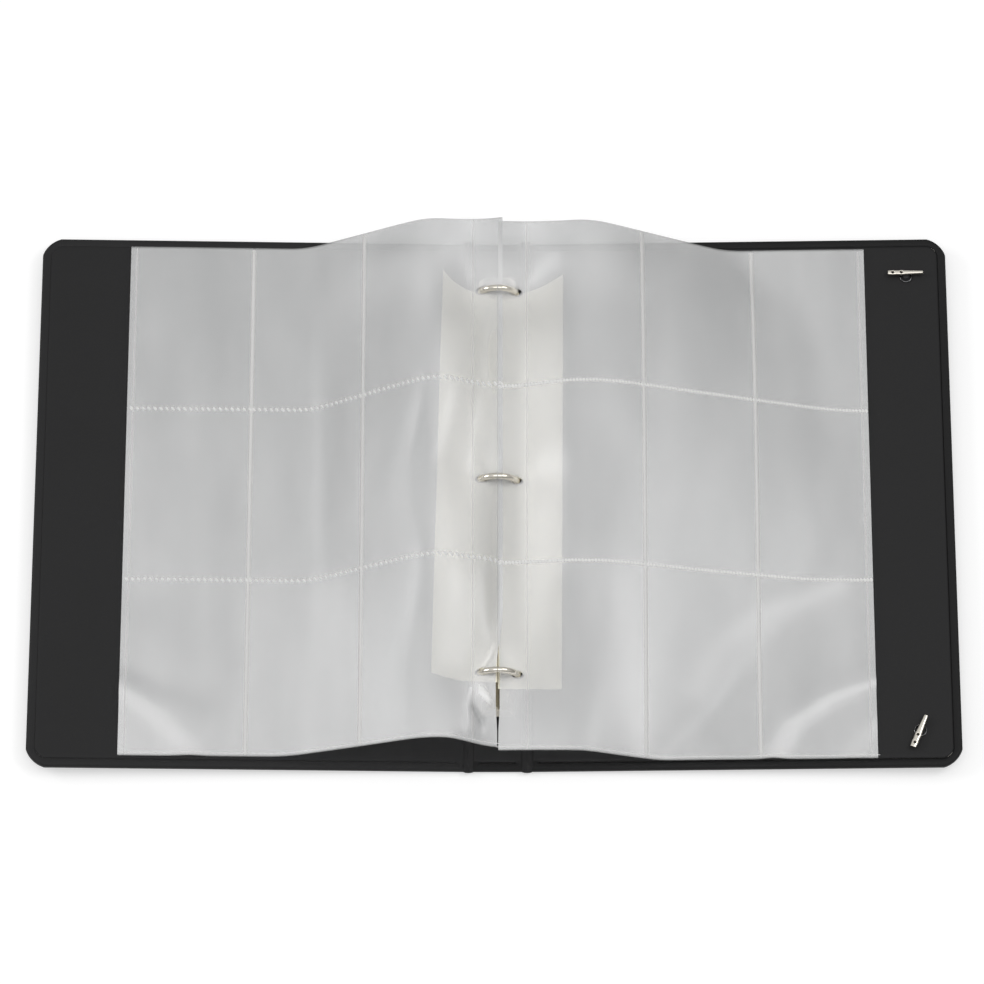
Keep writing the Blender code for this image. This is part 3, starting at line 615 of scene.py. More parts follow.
def rounded_outline(low, high, radii, steps=10):
    """Points round a rectangle with softly cut corners; radii start at the lower left, anticlockwise."""
    corners = (
        (low[0], low[1], 1, 1),
        (high[0], low[1], -1, 1),
        (high[0], high[1], -1, -1),
        (low[0], high[1], 1, -1),
    )
    outline = []
    for number, ((x, y, inward_x, inward_y), radius) in enumerate(zip(corners, radii)):
        first = math.pi + number * math.pi / 2
        for step in range(steps + 1):
            share = step / steps
            turn = first + share * math.pi / 2
            chord_x = (1 - share) * math.cos(first) + share * math.cos(first + math.pi / 2)
            chord_y = (1 - share) * math.sin(first) + share * math.sin(first + math.pi / 2)
            across = inward_x + (1 - CORNER_CUT) * math.cos(turn) + CORNER_CUT * chord_x
            along = inward_y + (1 - CORNER_CUT) * math.sin(turn) + CORNER_CUT * chord_y
            outline.append((x + radius * across, y + radius * along))
    return outline


def cover_matrix(side):
    """From a cover's own frame, with the crease as its origin, to the album's frame."""
    place = Vector((side * CREASE.x, 0.0, CREASE.z))
    return Matrix.Translation(place) @ Matrix.Rotation(-side * TILT, 4, "Y")


def turned_body(profile, sides, material, name, matrix):
    """A ring-shaped body turned about Z from a closed profile of radius and height."""
    points = []
    for step in range(sides):
        turn = step * math.tau / sides
        for radius, height in profile:
            points.append(matrix @ Vector((radius * math.cos(turn), radius * math.sin(turn), height)))
    faces = sweep_faces(sides, len(profile), closed=True)
    return add_piece(name, points, faces, material)


# Case


def lofted_panel(name, low_x, high_x, radii, profile, matrix, material):
    """A panel lofted through insets of its outline, each with a height, and closed at both ends."""
    low_y = CASE_MIDDLE - CASE_HALF_HEIGHT
    high_y = CASE_MIDDLE + CASE_HALF_HEIGHT
    points = []
    for margin, height in profile:
        low = (low_x + margin, low_y + margin)
        high = (high_x - margin, high_y - margin)
        tight = [max(radius - margin, 0.25 * MM) for radius in radii]
        for x, y in rounded_outline(low, high, tight):
            points.append(matrix @ Vector((x, y, height)))
    count = len(points) // len(profile)
    return add_piece(name, points, capped(len(profile), count), material, 50.0)


def skin_profile(low, high, border, groove):
    """Section of the outer skin: weld line outside, rolled edge, flange and the board's pocket."""
    return [
        (border + 1.6 * MM, low),
        (border + 0.3 * MM, low),
        (border, low + 0.14 * MM),
        (border - 0.3 * MM, low + 0.22 * MM),
        (border - 0.6 * MM, low + 0.14 * MM),
        (border - 0.9 * MM, low),
        (1.3 * MM, low),
        (0.5 * MM, low + 0.2 * MM),
        (0.14 * MM, low + 0.6 * MM),
        (0.0, low + 1.2 * MM),
        (0.0, high - 1.4 * MM),
        (0.14 * MM, high - 0.8 * MM),
        (0.5 * MM, high - 0.38 * MM),
        (1.2 * MM, high - 0.16 * MM),
        (2.2 * MM, high - 0.12 * MM),
        (border - 1.3 * MM, high - 0.12 * MM - 0.10 * groove),
        (border - 0.7 * MM, high - 0.12 * MM - 0.33 * groove),
        (border - 0.25 * MM, high - 0.12 * MM - 0.60 * groove),
        (border, high - 0.12 * MM - 0.83 * groove),
        (border, low + 0.6 * MM),
    ]


def liner_profile(high, border, groove):
    """Section of the lining: a thin pad whose edge rolls down into the weld."""
    return [
        (border + 0.05 * MM, high - 0.12 * MM - 0.60 * groove),
        (border + 0.08 * MM, high - 0.10 * MM - 0.48 * groove),
        (border + 0.4 * MM, high - 0.05 * MM - 0.25 * groove),
        (border + 0.9 * MM, high - 0.02 * MM - 0.08 * groove),
        (border + 1.6 * MM, high - 0.02 * groove),
        (border + 2.6 * MM, high),
    ]


def build_panel(name, body, low_x, high_x, radii, rise, matrix, groove):
    """The outer skin and lining of one panel; the lining runs out to the hinge webs' edges."""
    border = settings().case.weld_border
    low = PANEL_OUTER + rise
    high = PANEL_INNER + rise
    skin = lofted_panel(
        f"{name}_leatherette",
        low_x,
        high_x,
        radii,
        skin_profile(low, high, border, groove),
        matrix,
        "worn_leatherette" if name == "front" else "grained_leatherette",
    )
    to_web = border - 0.5 * MM
    lining_low = low_x if name == "front" else low_x - to_web
    lining_high = high_x if name == "back" else high_x + to_web
    section = liner_profile(high, border, groove)
    liner = lofted_panel(
        f"{name}_lining", lining_low, lining_high, radii, section, matrix, "grained_lining"
    )
    for piece, node, slot in ((skin, "outer_skin", "leatherette"), (liner, "inner_liner", "lining")):
        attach(piece, body)
        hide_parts(f"{name}_{node}")


def build_web(name, side):
    """A creased hinge web between the spine and its cover, with flaps over their edges."""
    half = WEB_HALF_WIDTH
    flap = half + PANEL_GAP + 0.3 * MM
    places = np.linspace(-flap, flap, 33)
    crease_depth = 0.30 * MM
    crease_width = 0.5 * MM
    ridge_height = 0.05 * MM
    ridge_place = 1.1 * MM
    ridge_width = 0.4 * MM
    crease = crease_depth * np.exp(-((places / crease_width) ** 2))
    ridge = ridge_height * np.exp(-(((np.abs(places) - ridge_place) / ridge_width) ** 2))
    top = CREASE.z - crease - 0.12 * MM + ridge
    thick = 0.9 * MM - 0.72 * MM * smooth_step(half - 0.3 * MM, half, np.abs(places))
    low = top - thick + 0.4 * crease
    section = list(zip(places, top)) + list(zip(places[::-1], low[::-1]))
    stations = 13
    points = []
    for along in np.linspace(-WEB_HALF_LENGTH, WEB_HALF_LENGTH, stations):
        for across, up in section:
            points.append((side * CREASE.x + across, CASE_MIDDLE + along, up))
    web = add_piece(name, points, capped(stations, len(section)), "worn_leatherette", 60.0)
    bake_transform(web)
    return web


class ALBUM_OT_case(bpy.types.Operator):
    """Dress the covers, the spine and the two hinge webs"""

    bl_idname = "album.case"
    bl_label = "Case"

    def execute(self, context):
        corner = settings().case.corner_radius
        edge = WEB_HALF_WIDTH + PANEL_GAP
        square = 0.3 * MM
        front = (corner, square, square, corner)
        back = (square, corner, corner, square)
        front_place = cover_matrix(-1.0)
        back_place = cover_matrix(1.0)
        half_spine = CREASE.x - edge
        build_panel("front", "front_cover", -COVER_REACH["front"], -edge, front, 0.0, front_place, 0.4 * MM)
        build_panel("back", "back_cover", edge, COVER_REACH["back"], back, 0.0, back_place, 1.0 * MM)
        build_panel("spine", "spine", -half_spine, half_spine, [square] * 4, CREASE.z, Matrix(), 0.7 * MM)
        for name, side, cover in (("front", -1.0, "front_cover"), ("back", 1.0, "back_cover")):
            web = build_web(f"{name}_web", side)
            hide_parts(f"{name}_hinge_web")
            NODES[f"{name}_board"].data.materials[0] = finish("grey_board")
        NODES["spine_board"].data.materials[0] = finish("grey_board")
        return {"FINISHED"}


# Ring mechanism


def half_ring_path(wire):
    """Points in X and Z from the peened foot to the tip, with a radius for each."""
    over = FOOT_SEAT + RAIL_HALF_THICKNESS
    under = FOOT_SEAT - RAIL_HALF_THICKNESS
    foot = [
        (under - 0.6 * MM, PEENED_RADIUS - 0.3 * MM),
        (under - 0.5 * MM, PEENED_RADIUS),
        (under, PEENED_RADIUS),
        (under + 0.02 * MM, NECK_RADIUS),
        (over - 0.02 * MM, NECK_RADIUS),
        (over, SHOULDER_RADIUS),
        (over + 0.6 * MM, SHOULDER_RADIUS),
        (over + 0.75 * MM, wire),
    ]
    places = [(FOOT_X, up, radius) for up, radius in foot]
    cosine = math.cos(ARC_START)
    sine = math.sin(ARC_START)
    arc_start = Vector((RING_RADIUS * sine, RING_CENTRE + RING_RADIUS * cosine))
    heading = Vector((-cosine, sine))
    rise = Vector((FOOT_X, SHANK_TOP))
    handles = (rise, rise + Vector((0.0, 1.9 * MM)), arc_start - 1.6 * MM * heading, arc_start)
    for place in np.linspace(0.0, 1.0, 10)[:-1].tolist():
        rest = 1.0 - place
        weights = (rest**3, 3 * rest**2 * place, 3 * rest * place**2, place**3)
        point = sum((handle * weight for weight, handle in zip(weights, handles)), Vector((0.0, 0.0)))
        places.append((point.x, point.y, wire))
    tip = math.asin(HALF_TIP_GAP / RING_RADIUS)
    for turn in np.linspace(ARC_START, tip, 40):
        across = RING_RADIUS * math.sin(turn)
        up = RING_CENTRE + RING_RADIUS * math.cos(turn)
        places.append((across, up, wire))
    return places


def wire_tree():
    """Geometry nodes that sweep a round wire along a path, with the path's own radii."""
    tree, start, path = new_tree("Ring wire", "Sides", "NodeSocketInt")
    radius = named_value(tree, "wire_radius", "FLOAT")
    thick = tree.nodes.new("GeometryNodeSetCurveRadius")
    circle = add_node(tree, "GeometryNodeCurvePrimitiveCircle", radius=1.0)
    tube = add_node(tree, "GeometryNodeCurveToMesh", fill_caps=True)
    link = tree.links.new
    link(path, thick.inputs["Curve"])
    link(radius, thick.inputs["Radius"])
    link(thick.outputs["Curve"], tube.inputs["Curve"])
    link(radius, tube.inputs["Scale"])
    link(start.outputs["Sides"], circle.inputs["Resolution"])
    link(circle.outputs["Curve"], tube.inputs["Profile Curve"])
    end_tree(tree, start, tube.outputs["Mesh"])
    return tree


def build_half_ring(name, side, along, tree):
    """One half ring on its carrier rail, swept by the wire nodes."""
    places = half_ring_path(settings().metal.wire_radius)
    points = [(side * across, along, up) for across, up, _ in places]
    edges = [(step, step + 1) for step in range(len(points) - 1)]
    radii = [radius for _, _, radius in places]
    path = path_object(name, points, edges, [("wire_radius", "FLOAT", "value", radii)])
    made = run_tree(path, tree, {"Sides": WIRE_SIDES, "Material": finish("rubbed_nickel")})
    shape = bmesh.new()
    shape.from_mesh(made.data)
    bmesh.ops.remove_doubles(shape, verts=shape.verts, dist=1e-7)
    bmesh.ops.recalc_face_normals(shape, faces=shape.faces)
    shape.to_mesh(made.data)
    shape.free()
    made.data.shade_smooth()
    made.data.set_sharp_from_angle(angle=math.radians(40))
    return made


class ALBUM_OT_mechanism(bpy.types.Operator):
    """Dress the ring mechanism: half rings, arched plate, rails and rivets"""

    bl_idname = "album.mechanism"
    bl_label = "Ring mechanism"

    def execute(self, context):
        tree = wire_tree()
        for side_name, side in (("left", -1.0), ("right", 1.0)):
            for ring, along in RING_PLACES.items():
                name = f"{ring}_{side_name}_ring"
                half_ring = build_half_ring(name, side, along, tree)
                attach(half_ring, f"{side_name}_rings")
                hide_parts(f"{ring}_{side_name}_half_ring")
            NODES[f"{side_name}_rail"].data.materials[0] = finish("plain_steel")
        NODES["ring_plate"].data.materials[0] = finish("rubbed_nickel")
        for end in ("upper", "lower"):
            NODES[f"{end}_plate_rivet"].data.materials[0] = finish("rubbed_nickel")
            NODES[f"{end}_rivet_washer"].data.materials[0] = finish("plain_steel")
        return {"FINISHED"}


# Pocket leaves


def smooth_step(start, end, value):
    place = np.clip((value - start) / (end - start), 0.0, 1.0)
    return place * place * (3.0 - 2.0 * place)


def rounded_ramp(start, end, value):
    """A straight ramp from nothing to one with rounded ends."""
    place = np.clip((value - start) / (end - start), 0.0, 1.0)
    curve = 0.2
    low = place**2 / (2 * curve * (1 - curve))
    high = 1.0 - (1.0 - place) ** 2 / (2 * curve * (1 - curve))
    straight = (place - curve / 2) / (1 - curve)
    return np.where(place < curve, low, np.where(place > 1 - curve, high, straight))


def along_leaf(heights, along):
    """A value given at the four stations, on the cubic through them."""
    return np.polyval(np.polyfit(LEAF_STATIONS / MM, heights, 3), along / MM)


def top_leaf_height(form, reach, along):
    """Height of a top leaf: flat on the cover, up a flank to a crest, then down to the rings."""
    panel_top = CREASE.z + PANEL_INNER
    flat = panel_top + np.maximum(reach - CREASE.x, 0.0) * math.tan(TILT)
    flat = flat + STACK_CLEARANCE + 2 * FLAT_SPACING
    crest = along_leaf(form["crest"], along)
    gutter = along_leaf(form["gutter"], along)
    flank = 1.0 - rounded_ramp(form["crest_reach"], along_leaf(form["flat_from"], along), reach)
    inside = 1.0 - smooth_step(0.0, form["crest_reach"], reach)
    free = flat + (crest - flat) * flank - (crest - gutter) * inside
    beyond = np.maximum(reach - RING_HOLD, 0.0) / RING_PULL
    held = sum(
        np.exp(-(np.hypot((along - place) / RING_PINCH, beyond) ** RING_FALL))
        for place in RING_PLACES.values()
    )
    return free + (form["at_ring"] - free) * held


def leaf_height(form, number, reach, along):
    """Height of leaf 0, 1 or 2 from the top; the leaves spread apart round the rings."""
    near_ring = 1.0 - smooth_step(*SPREAD_REACH, reach)
    beside = sum(np.exp(-(((along - place) / RING_SPREAD) ** 2)) for place in RING_PLACES.values())
    spacing = FLAT_SPACING + (RING_SPACING - FLAT_SPACING) * near_ring * beside
    return top_leaf_height(form, reach, along) - number * spacing


def polyline_distance(points, reach, along):
    """Distance to a line through points in millimetres, and how far along it the nearest place is."""
    nearest = np.full_like(reach, np.inf)
    place = np.zeros_like(reach)
    for number, (start, end) in enumerate(zip(points, points[1:])):
        run = (np.array(end) - np.array(start)) * MM
        offset_u = reach - start[0] * MM
        offset_y = along - start[1] * MM
        share = np.clip((offset_u * run[0] + offset_y * run[1]) / (run @ run), 0.0, 1.0)
        away = np.hypot(offset_u - share * run[0], offset_y - share * run[1])
        place = np.where(away < nearest, (number + share) / (len(points) - 1), place)
        nearest = np.minimum(away, nearest)
    return nearest, place


def film_painted_light(form, reach, along):
    """Painted light and shade on the film away from its folds: a whiter outer strip, painted light over the
    lifter turning to painted shade by the top and bottom rings, lighter by the bottom ring and darker along
    the rest of the gutter, and painted light and shade on the arched end.
    """
    last_column = form["columns"][-1]
    outer_strip = 0.1 * smooth_step(last_column - 1.0 * MM, last_column, reach)
    near_end = np.exp(-(((np.abs(along) - RING_PLACES["top"]) / (40.0 * MM)) ** 2))
    over_lifter = 0.45 - 0.6 * near_end
    by_rings = 0.2 - 0.4 * smooth_step(-105.0 * MM, -85.0 * MM, along)
    off_rings = smooth_step(8.0 * MM, 16.0 * MM, reach)
    lifter_painted_light = 1.0 - smooth_step(30.0 * MM, 38.0 * MM, reach)
    lifter_painted_light = lifter_painted_light * (by_rings + (over_lifter - by_rings) * off_rings)
    # Painted light on the arched part between 85 and 112 mm up the leaf, and painted shade above 118 mm.
    lit = 0.35 * smooth_step(85.0 * MM, 112.0 * MM, along)
    shaded = 0.75 * smooth_step(118.0 * MM, 140.0 * MM, along)
    arched = 1.0 - smooth_step(50.0 * MM, 90.0 * MM, reach)
    return outer_strip + lifter_painted_light + (lit - shaded) * arched


def folds_at(form, reach, along):
    """Height of the folds that handling has left in the film, and the film's painted light and shade.

    A fold is a line of points, a width and a rise, all in millimetres, and a whiteness: a painted highlight
    along the fold, with some stress whitening, where positive, and painted shade where negative.
    """
    ripple = np.sin(reach / (17.0 * MM) + 1.3) * np.sin(along / (31.0 * MM) + form["side"])
    height = 0.22 * MM * ripple * smooth_step(30.0 * MM, 90.0 * MM, reach)
    white = film_painted_light(form, reach, along)
    for points, width, rise, whiteness in form["folds"]:
        away, place = polyline_distance(points, reach, along)
        spread = width * MM * (0.6 + 0.6 * place)
        ridge = np.exp(-((away / spread) ** 2))
        height += rise * MM * ridge
        # Painted highlight along a fold where its whiteness is positive, painted shade where it is negative.
        white += whiteness * ridge * (1.0 - 0.5 * place)
    return height, np.clip(white, -1.0, 1.0)


def pocket_puff(form, reach, along):
    """How far the film stands off its mid-surface: nothing at a weld, full between welds."""
    edges = form["middle"] + np.array((-1.0, 1.0)) * LEAF_HALF_HEIGHT
    rows = np.concatenate((form["rows"], edges))
    columns = np.concatenate((form["columns"], (0.0, LEAF_REACH)))
    to_column = np.min([np.abs(reach - place) for place in columns], axis=0)
    to_row = np.min([np.abs(along - place) for place in rows], axis=0)
    rise = 1.0 - np.exp(-((to_column / WELD_FLAT) ** 2))
    rise = rise * (1.0 - np.exp(-((to_row / WELD_FLAT) ** 2)))
    return settings().leaf.puff * rise


def leaf_surface(form, number, reach, along):
    """X of the film's mid-surface and its height; the left leaf's edge lies over the right one's."""
    opened = smooth_step(*GUTTER_OPENS, along)
    shut = smooth_step(*GUTTER_SHUTS, along)
    edge = form["edge"] + (GUTTER_OPEN * (1.0 - GUTTER_SHUT_SHARE * shut) - form["edge"]) * opened
    inward = 1.0 - smooth_step(LEAF_GUTTER, GUTTER_REACH, reach)
    drawn = reach + (edge - LEAF_GUTTER) * inward
    height = leaf_height(form, number, reach, along) + folds_at(form, reach, along)[0]
    if form["edge"] < 0:
        gutter = np.full_like(along, LEAF_GUTTER)
        over = leaf_height(LEAVES["right"], number, gutter, along)
        own = leaf_height(form, number, gutter, along)
        height = height + (over + OVERLAP_RISE - own) * (1.0 - opened) * inward**2
    return form["side"] * drawn, height


def spaced(low, high, step, marks, creased):
    """Places from low to high about a step apart, closer beside each mark and over a creased stretch."""
    places = list(np.linspace(low, high, round((high - low) / step) + 1))
    places += list(np.arange(*creased, CREASED_STEP))
    for mark in marks:
        places += list(mark + MARK_OFFSETS)
    kept = [low]
    for place in sorted(places):
        if low < place < high and place - kept[-1] > LEAST_STEP:
            kept.append(place)
    return np.array(kept[:-1] + [high] if high - kept[-1] < LEAST_STEP else kept + [high])


def sheet_faces(columns, rows):
    """Faces of a closed sheet: a grid of points for its top, then the same grid for its underside."""
    count = columns * rows
    faces = []
    for column in range(columns - 1):
        for row in range(rows - 1):
            corner = column * rows + row
            quad = (corner, corner + rows, corner + rows + 1, corner + 1)
            faces.append(quad)
            faces.append(tuple(index + count for index in reversed(quad)))
    rim = list(range(0, count, rows))
    rim += list(range(count - rows + 1, count))
    rim += list(range(count - rows - 1, rows - 2, -rows))
    rim += list(range(rows - 2, 0, -1))
    for here, there in zip(rim, rim[1:] + rim[:1]):
        faces.append((here, there, there + count, here + count))
    return faces


def film_shell(name, form, number, low, high):
    """One leaf, or part of one, as a closed shell of two films."""
    lower = form["middle"] - LEAF_HALF_HEIGHT
    upper = form["middle"] + LEAF_HALF_HEIGHT
    columns = spaced(low, high, LEAF_STEP, form["columns"], CREASED_REACH)
    rows = spaced(lower, upper, LEAF_STEP, form["rows"], CREASED_ALONG)
    reach, along = np.meshgrid(columns, rows, indexing="ij")
    across, height = leaf_surface(form, number, reach, along)
    puff = pocket_puff(form, reach, along)
    top = np.stack((across, along, height + puff), axis=-1).reshape(-1, 3)
    under = height - LEAF_THICKNESS - UNDERSIDE_PUFF * puff
    low_side = np.stack((across, along, under), axis=-1).reshape(-1, 3)
    faces = sheet_faces(len(columns), len(rows))
    sheet = add_piece(name, np.concatenate((top, low_side)), faces, "hazed_film", 60.0)
    # The crease attribute holds the film's painted light and shade, from its folds and from the rest of the
    # leaf.
    white = folds_at(form, reach, along)[1].ravel()
    marks = sheet.data.attributes.new("crease", "FLOAT", "POINT")
    marks.data.foreach_set("value", np.concatenate((white, white)).astype(np.float32))
    return sheet


def punch_rings(sheet, side, reach, radii):
    """Cut the three ring holes through a sheet."""
    points = []
    for height in PUNCH_HEIGHTS:
        for step in range(PUNCH_SIDES):
            turn = step * math.tau / PUNCH_SIDES
            points.append((radii[0] * math.cos(turn), radii[1] * math.sin(turn), height))
    for ring, along in RING_PLACES.items():
        place = Vector((side * reach, along, 0.0))
        moved = [Vector(point) + place for point in points]
        cutter = add_piece(f"{sheet.name}_{ring}_punch", moved, capped(2, PUNCH_SIDES), "hazed_film")
        hole = sheet.modifiers.new(ring, "BOOLEAN")
        hole.object = cutter
    settle(sheet)
    for ring in RING_PLACES:
        bpy.data.objects.remove(bpy.data.objects[f"{sheet.name}_{ring}_punch"])


def ring_crossing(height):
    """Distance from the middle of the spine at which the ring wire passes a height."""
    return math.sqrt(RING_RADIUS**2 - (height - RING_CENTRE) ** 2)


def paint_fold_glare(sheet):
    """Give the faces of a sheet's sharpest folds the whiter, denser film: a painted glare, with some stress
    whitening.
    """
    sheet.data.materials.append(finish("painted_glare_film"))
    marks = sheet.data.attributes["crease"].data
    for face in sheet.data.polygons:
        if min(marks[corner].value for corner in face.vertices) > PAINTED_GLARE_LEVEL:
            face.material_index = 1


def bend_with_cover(piece):
    """Bake a piece's placement into its mesh."""
    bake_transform(piece)


def bend_at_split(piece):
    """Bake a piece's placement into its mesh."""
    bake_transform(piece)


def build_leaf(side_name, leaf):
    """One leaf on the rings; the top one is split in two at its third upright weld."""
    form = LEAVES[side_name]
    number = LEAF_NUMBERS[leaf]
    name = f"{side_name}_{leaf}"
    node = f"{side_name}_{leaf}_leaf"
    high = form["split"] - SPLIT_SLIT if number == 0 else LEAF_REACH
    inner = film_shell(f"{name}_film", form, number, LEAF_GUTTER, high)
    at_ring = leaf_height(form, number, np.array(RING_RADIUS), np.array(0.0))
    punch_rings(inner, form["side"], ring_crossing(float(at_ring)) + HOLE_SLACK, LEAF_HOLE)
    bend_with_cover(inner)
    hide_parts(f"{node}_inner" if number == 0 else node)
    made = [inner]
    if number == 0:
        paint_fold_glare(inner)
        outer = film_shell(f"{name}_outer_film", form, number, form["split"] + SPLIT_SLIT, LEAF_REACH)
        bend_at_split(outer)
        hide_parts(f"{node}_outer")
        made.append(outer)
    for piece in made:
        piece.visible_shadow = False


class ALBUM_OT_leaves(bpy.types.Operator):
    """Dress the clear pocket leaves on both sides of the rings"""

    bl_idname = "album.leaves"
    bl_label = "Pocket leaves"

    def execute(self, context):
        for side_name in LEAVES:
            for leaf in LEAF_NUMBERS:
                build_leaf(side_name, leaf)
        return {"FINISHED"}


# Welds of the top leaves

WELD_LIFT = 0.12 * MM
ROW_MARK_HEIGHT = 0.09 * MM
EDGE_MARK = np.array((0.2, 2.4, 0.06)) * MM
COLUMN_MARK = np.array((1.2, 1.2, 0.07)) * MM
COLUMN_SHARES = (0.14, 1.0, 1.0, 0.3)


def weld_tree():
    """Geometry nodes that set a rounded mark at every pitch along each weld line."""
    tree, start, path = new_tree("Weld marks", "Pitch", "NodeSocketFloat")
    evenly = add_node(tree, "GeometryNodeResampleCurve", mode="LENGTH")
    mark = add_node(tree, "GeometryNodeMeshUVSphere", segments=8, rings=5, radius=1.0)
    smooth = tree.nodes.new("GeometryNodeSetShadeSmooth")
    tangent = tree.nodes.new("GeometryNodeInputTangent")
    upright = add_node(tree, "FunctionNodeAlignRotationToVector", axis="Z")
    along = add_node(tree, "FunctionNodeAlignRotationToVector", axis="X", pivot_axis="Z")
    turn = tree.nodes.new("FunctionNodeAxisAngleToRotation")
    turned = add_node(tree, "FunctionNodeRotateRotation", rotation_space="LOCAL")
    marks = tree.nodes.new("GeometryNodeInstanceOnPoints")
    link = tree.links.new
    link(path, evenly.inputs["Curve"])
    link(start.outputs["Pitch"], evenly.inputs["Length"])
    link(evenly.outputs["Curve"], marks.inputs["Points"])
    link(mark.outputs["Mesh"], smooth.inputs["Geometry"])
    link(smooth.outputs["Geometry"], marks.inputs["Instance"])
    link(named_value(tree, "film_normal", "FLOAT_VECTOR"), upright.inputs["Vector"])
    link(upright.outputs["Rotation"], along.inputs["Rotation"])
    link(tangent.outputs["Tangent"], along.inputs["Vector"])
    link(along.outputs["Rotation"], turned.inputs["Rotation"])
    link(named_value(tree, "slant", "FLOAT"), turn.inputs["Angle"])
    link(turn.outputs["Rotation"], turned.inputs["Rotate By"])
    link(turned.outputs["Rotation"], marks.inputs["Rotation"])
    link(named_value(tree, "mark_size", "FLOAT_VECTOR"), marks.inputs["Scale"])
    end_tree(tree, start, marks.outputs["Instances"])
    return tree


def weld_rows(form, low, high):
    """Slanted marks across the leaf: the two pocket rows and a fine row along the lower edge."""
    bottom = form["middle"] - LEAF_HALF_HEIGHT + 0.8 * MM
    reach = np.arange(max(low, 1.5 * MM), high - 0.5 * MM, 2.0 * MM)
    size = np.array((form["row_length"], form["row_width"], ROW_MARK_HEIGHT))
    lines = [(reach, np.full_like(reach, row), size, form["slant"]) for row in form["rows"]]
    lines.append((reach, np.full_like(reach, bottom), EDGE_MARK, math.pi / 2))
    return lines


def weld_columns(form, low, high):
    """Close marks along the leaf, fainter beside the spine and at the outer edge."""
    lower = form["middle"] - LEAF_HALF_HEIGHT + 1.0 * MM
    upper = form["middle"] + LEAF_HALF_HEIGHT - 1.0 * MM
    along = np.arange(lower, upper, 2.5 * MM)
    lines = []
    for column, share in zip(form["columns"], COLUMN_SHARES):
        if low < column <= high + 0.5 * MM:
            size = COLUMN_MARK * (1.0, share, 1.0)
            lines.append((np.full_like(along, min(column, high)), along, size, 0.0))
    return lines


def film_normal(form, reach, along):
    """Upward normal of the top leaf at a place, from its slopes."""
    step = 0.5 * MM
    x_near, z_near = leaf_surface(form, 0, reach - step, along)
    x_far, z_far = leaf_surface(form, 0, reach + step, along)
    _, z_low = leaf_surface(form, 0, reach, along - step)
    _, z_high = leaf_surface(form, 0, reach, along + step)
    slope_x = (z_far - z_near) / (x_far - x_near)
    slope_y = (z_high - z_low) / (2 * step)
    normal = np.stack((-slope_x, -slope_y, np.ones_like(slope_x)), axis=-1)
    return normal / np.linalg.norm(normal, axis=1)[:, None]


def build_welds(name, form, lines, pitch, material, tree):
    """Marks along weld lines on the top leaf, as one piece."""
    points = []
    edges = []
    normals = []
    sizes = []
    slants = []
    for reach, along, size, slant in lines:
        across, height = leaf_surface(form, 0, reach, along)
        first = len(points)
        points += list(zip(across, along, height + WELD_LIFT))
        edges += [(first + step, first + step + 1) for step in range(len(reach) - 1)]
        normals += list(film_normal(form, reach, along))
        sizes += [size] * len(reach)
        slants += [slant] * len(reach)
    attributes = (
        ("film_normal", "FLOAT_VECTOR", "vector", normals),
        ("mark_size", "FLOAT_VECTOR", "vector", sizes),
        ("slant", "FLOAT", "value", slants),
    )
    path = path_object(name, points, edges, attributes)
    made = run_tree(path, tree, {"Pitch": pitch, "Material": finish(material)})
    made.visible_shadow = False
    return made


class ALBUM_OT_welds(bpy.types.Operator):
    """Set the dotted welds along the top leaves' pockets"""

    bl_idname = "album.welds"
    bl_label = "Pocket welds"

    def execute(self, context):
        line_pitch = settings().leaf.line_pitch
        tree = weld_tree()
        for side_name, form in LEAVES.items():
            split = form["split"]
            for part, low, high in (
                ("inner", LEAF_GUTTER, split),
                ("outer", split + 0.6 * MM, LEAF_REACH),
            ):
                name = f"{side_name}_{part}"
                for kind, lines, pitch, material in (
                    ("rows", weld_rows(form, low, high), form["row_pitch"], "weld"),
                    ("columns", weld_columns(form, low, high), line_pitch, "weld_line"),
                ):
                    piece = build_welds(f"{name}_{kind}", form, lines, pitch, material, tree)
                    if part == "inner":
                        bend_with_cover(piece)
                    else:
                        bend_at_split(piece)
        return {"FINISHED"}


# Sheet lifters


def build_lifter(side_name, form):
    """An ivory strip lying against the underside of the leaves, its ends cut back towards the rings."""
    (upper_reach, upper, upper_cut), (lower_reach, lower, lower_cut) = form["lifter"]
    across = np.linspace(0.0, 1.0, 25)
    along = np.linspace(0.0, 1.0, 120)
    share, place = np.meshgrid(across, along, indexing="ij")
    outer = lower_reach + (upper_reach - lower_reach) * place
    reach = LIFTER_INNER + (outer - LIFTER_INNER) * share
    cut = (lower_cut + (upper_cut - lower_cut) * place) * (1.0 - share**LIFTER_CURL)
    y = lower + (upper - lower) * place - cut
    height = leaf_surface(form, 2, reach, y)[1] - LIFTER_CLEARANCE
    top = np.stack((form["side"] * reach, y, height), axis=-1).reshape(-1, 3)
    below = top - np.array((0.0, 0.0, LIFTER_THICKNESS))
    faces = sheet_faces(len(across), len(along))
    lifter = add_piece(f"{side_name}_lifter", np.concatenate((top, below)), faces, "ivory_film", 60.0)
    at_ring = leaf_height(form, 2, np.array(RING_RADIUS), np.array(0.0)) - LIFTER_CLEARANCE
    punch_rings(lifter, form["side"], ring_crossing(float(at_ring)), LEAF_HOLE)
    bend_with_cover(lifter)
    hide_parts(f"{side_name}_sheet_lifter")


class ALBUM_OT_lifters(bpy.types.Operator):
    """Dress the ivory sheet lifters beside the rings"""

    bl_idname = "album.lifters"
    bl_label = "Sheet lifters"

    def execute(self, context):
        for side_name, form in LEAVES.items():
            build_lifter(side_name, form)
        return {"FINISHED"}


# Closure


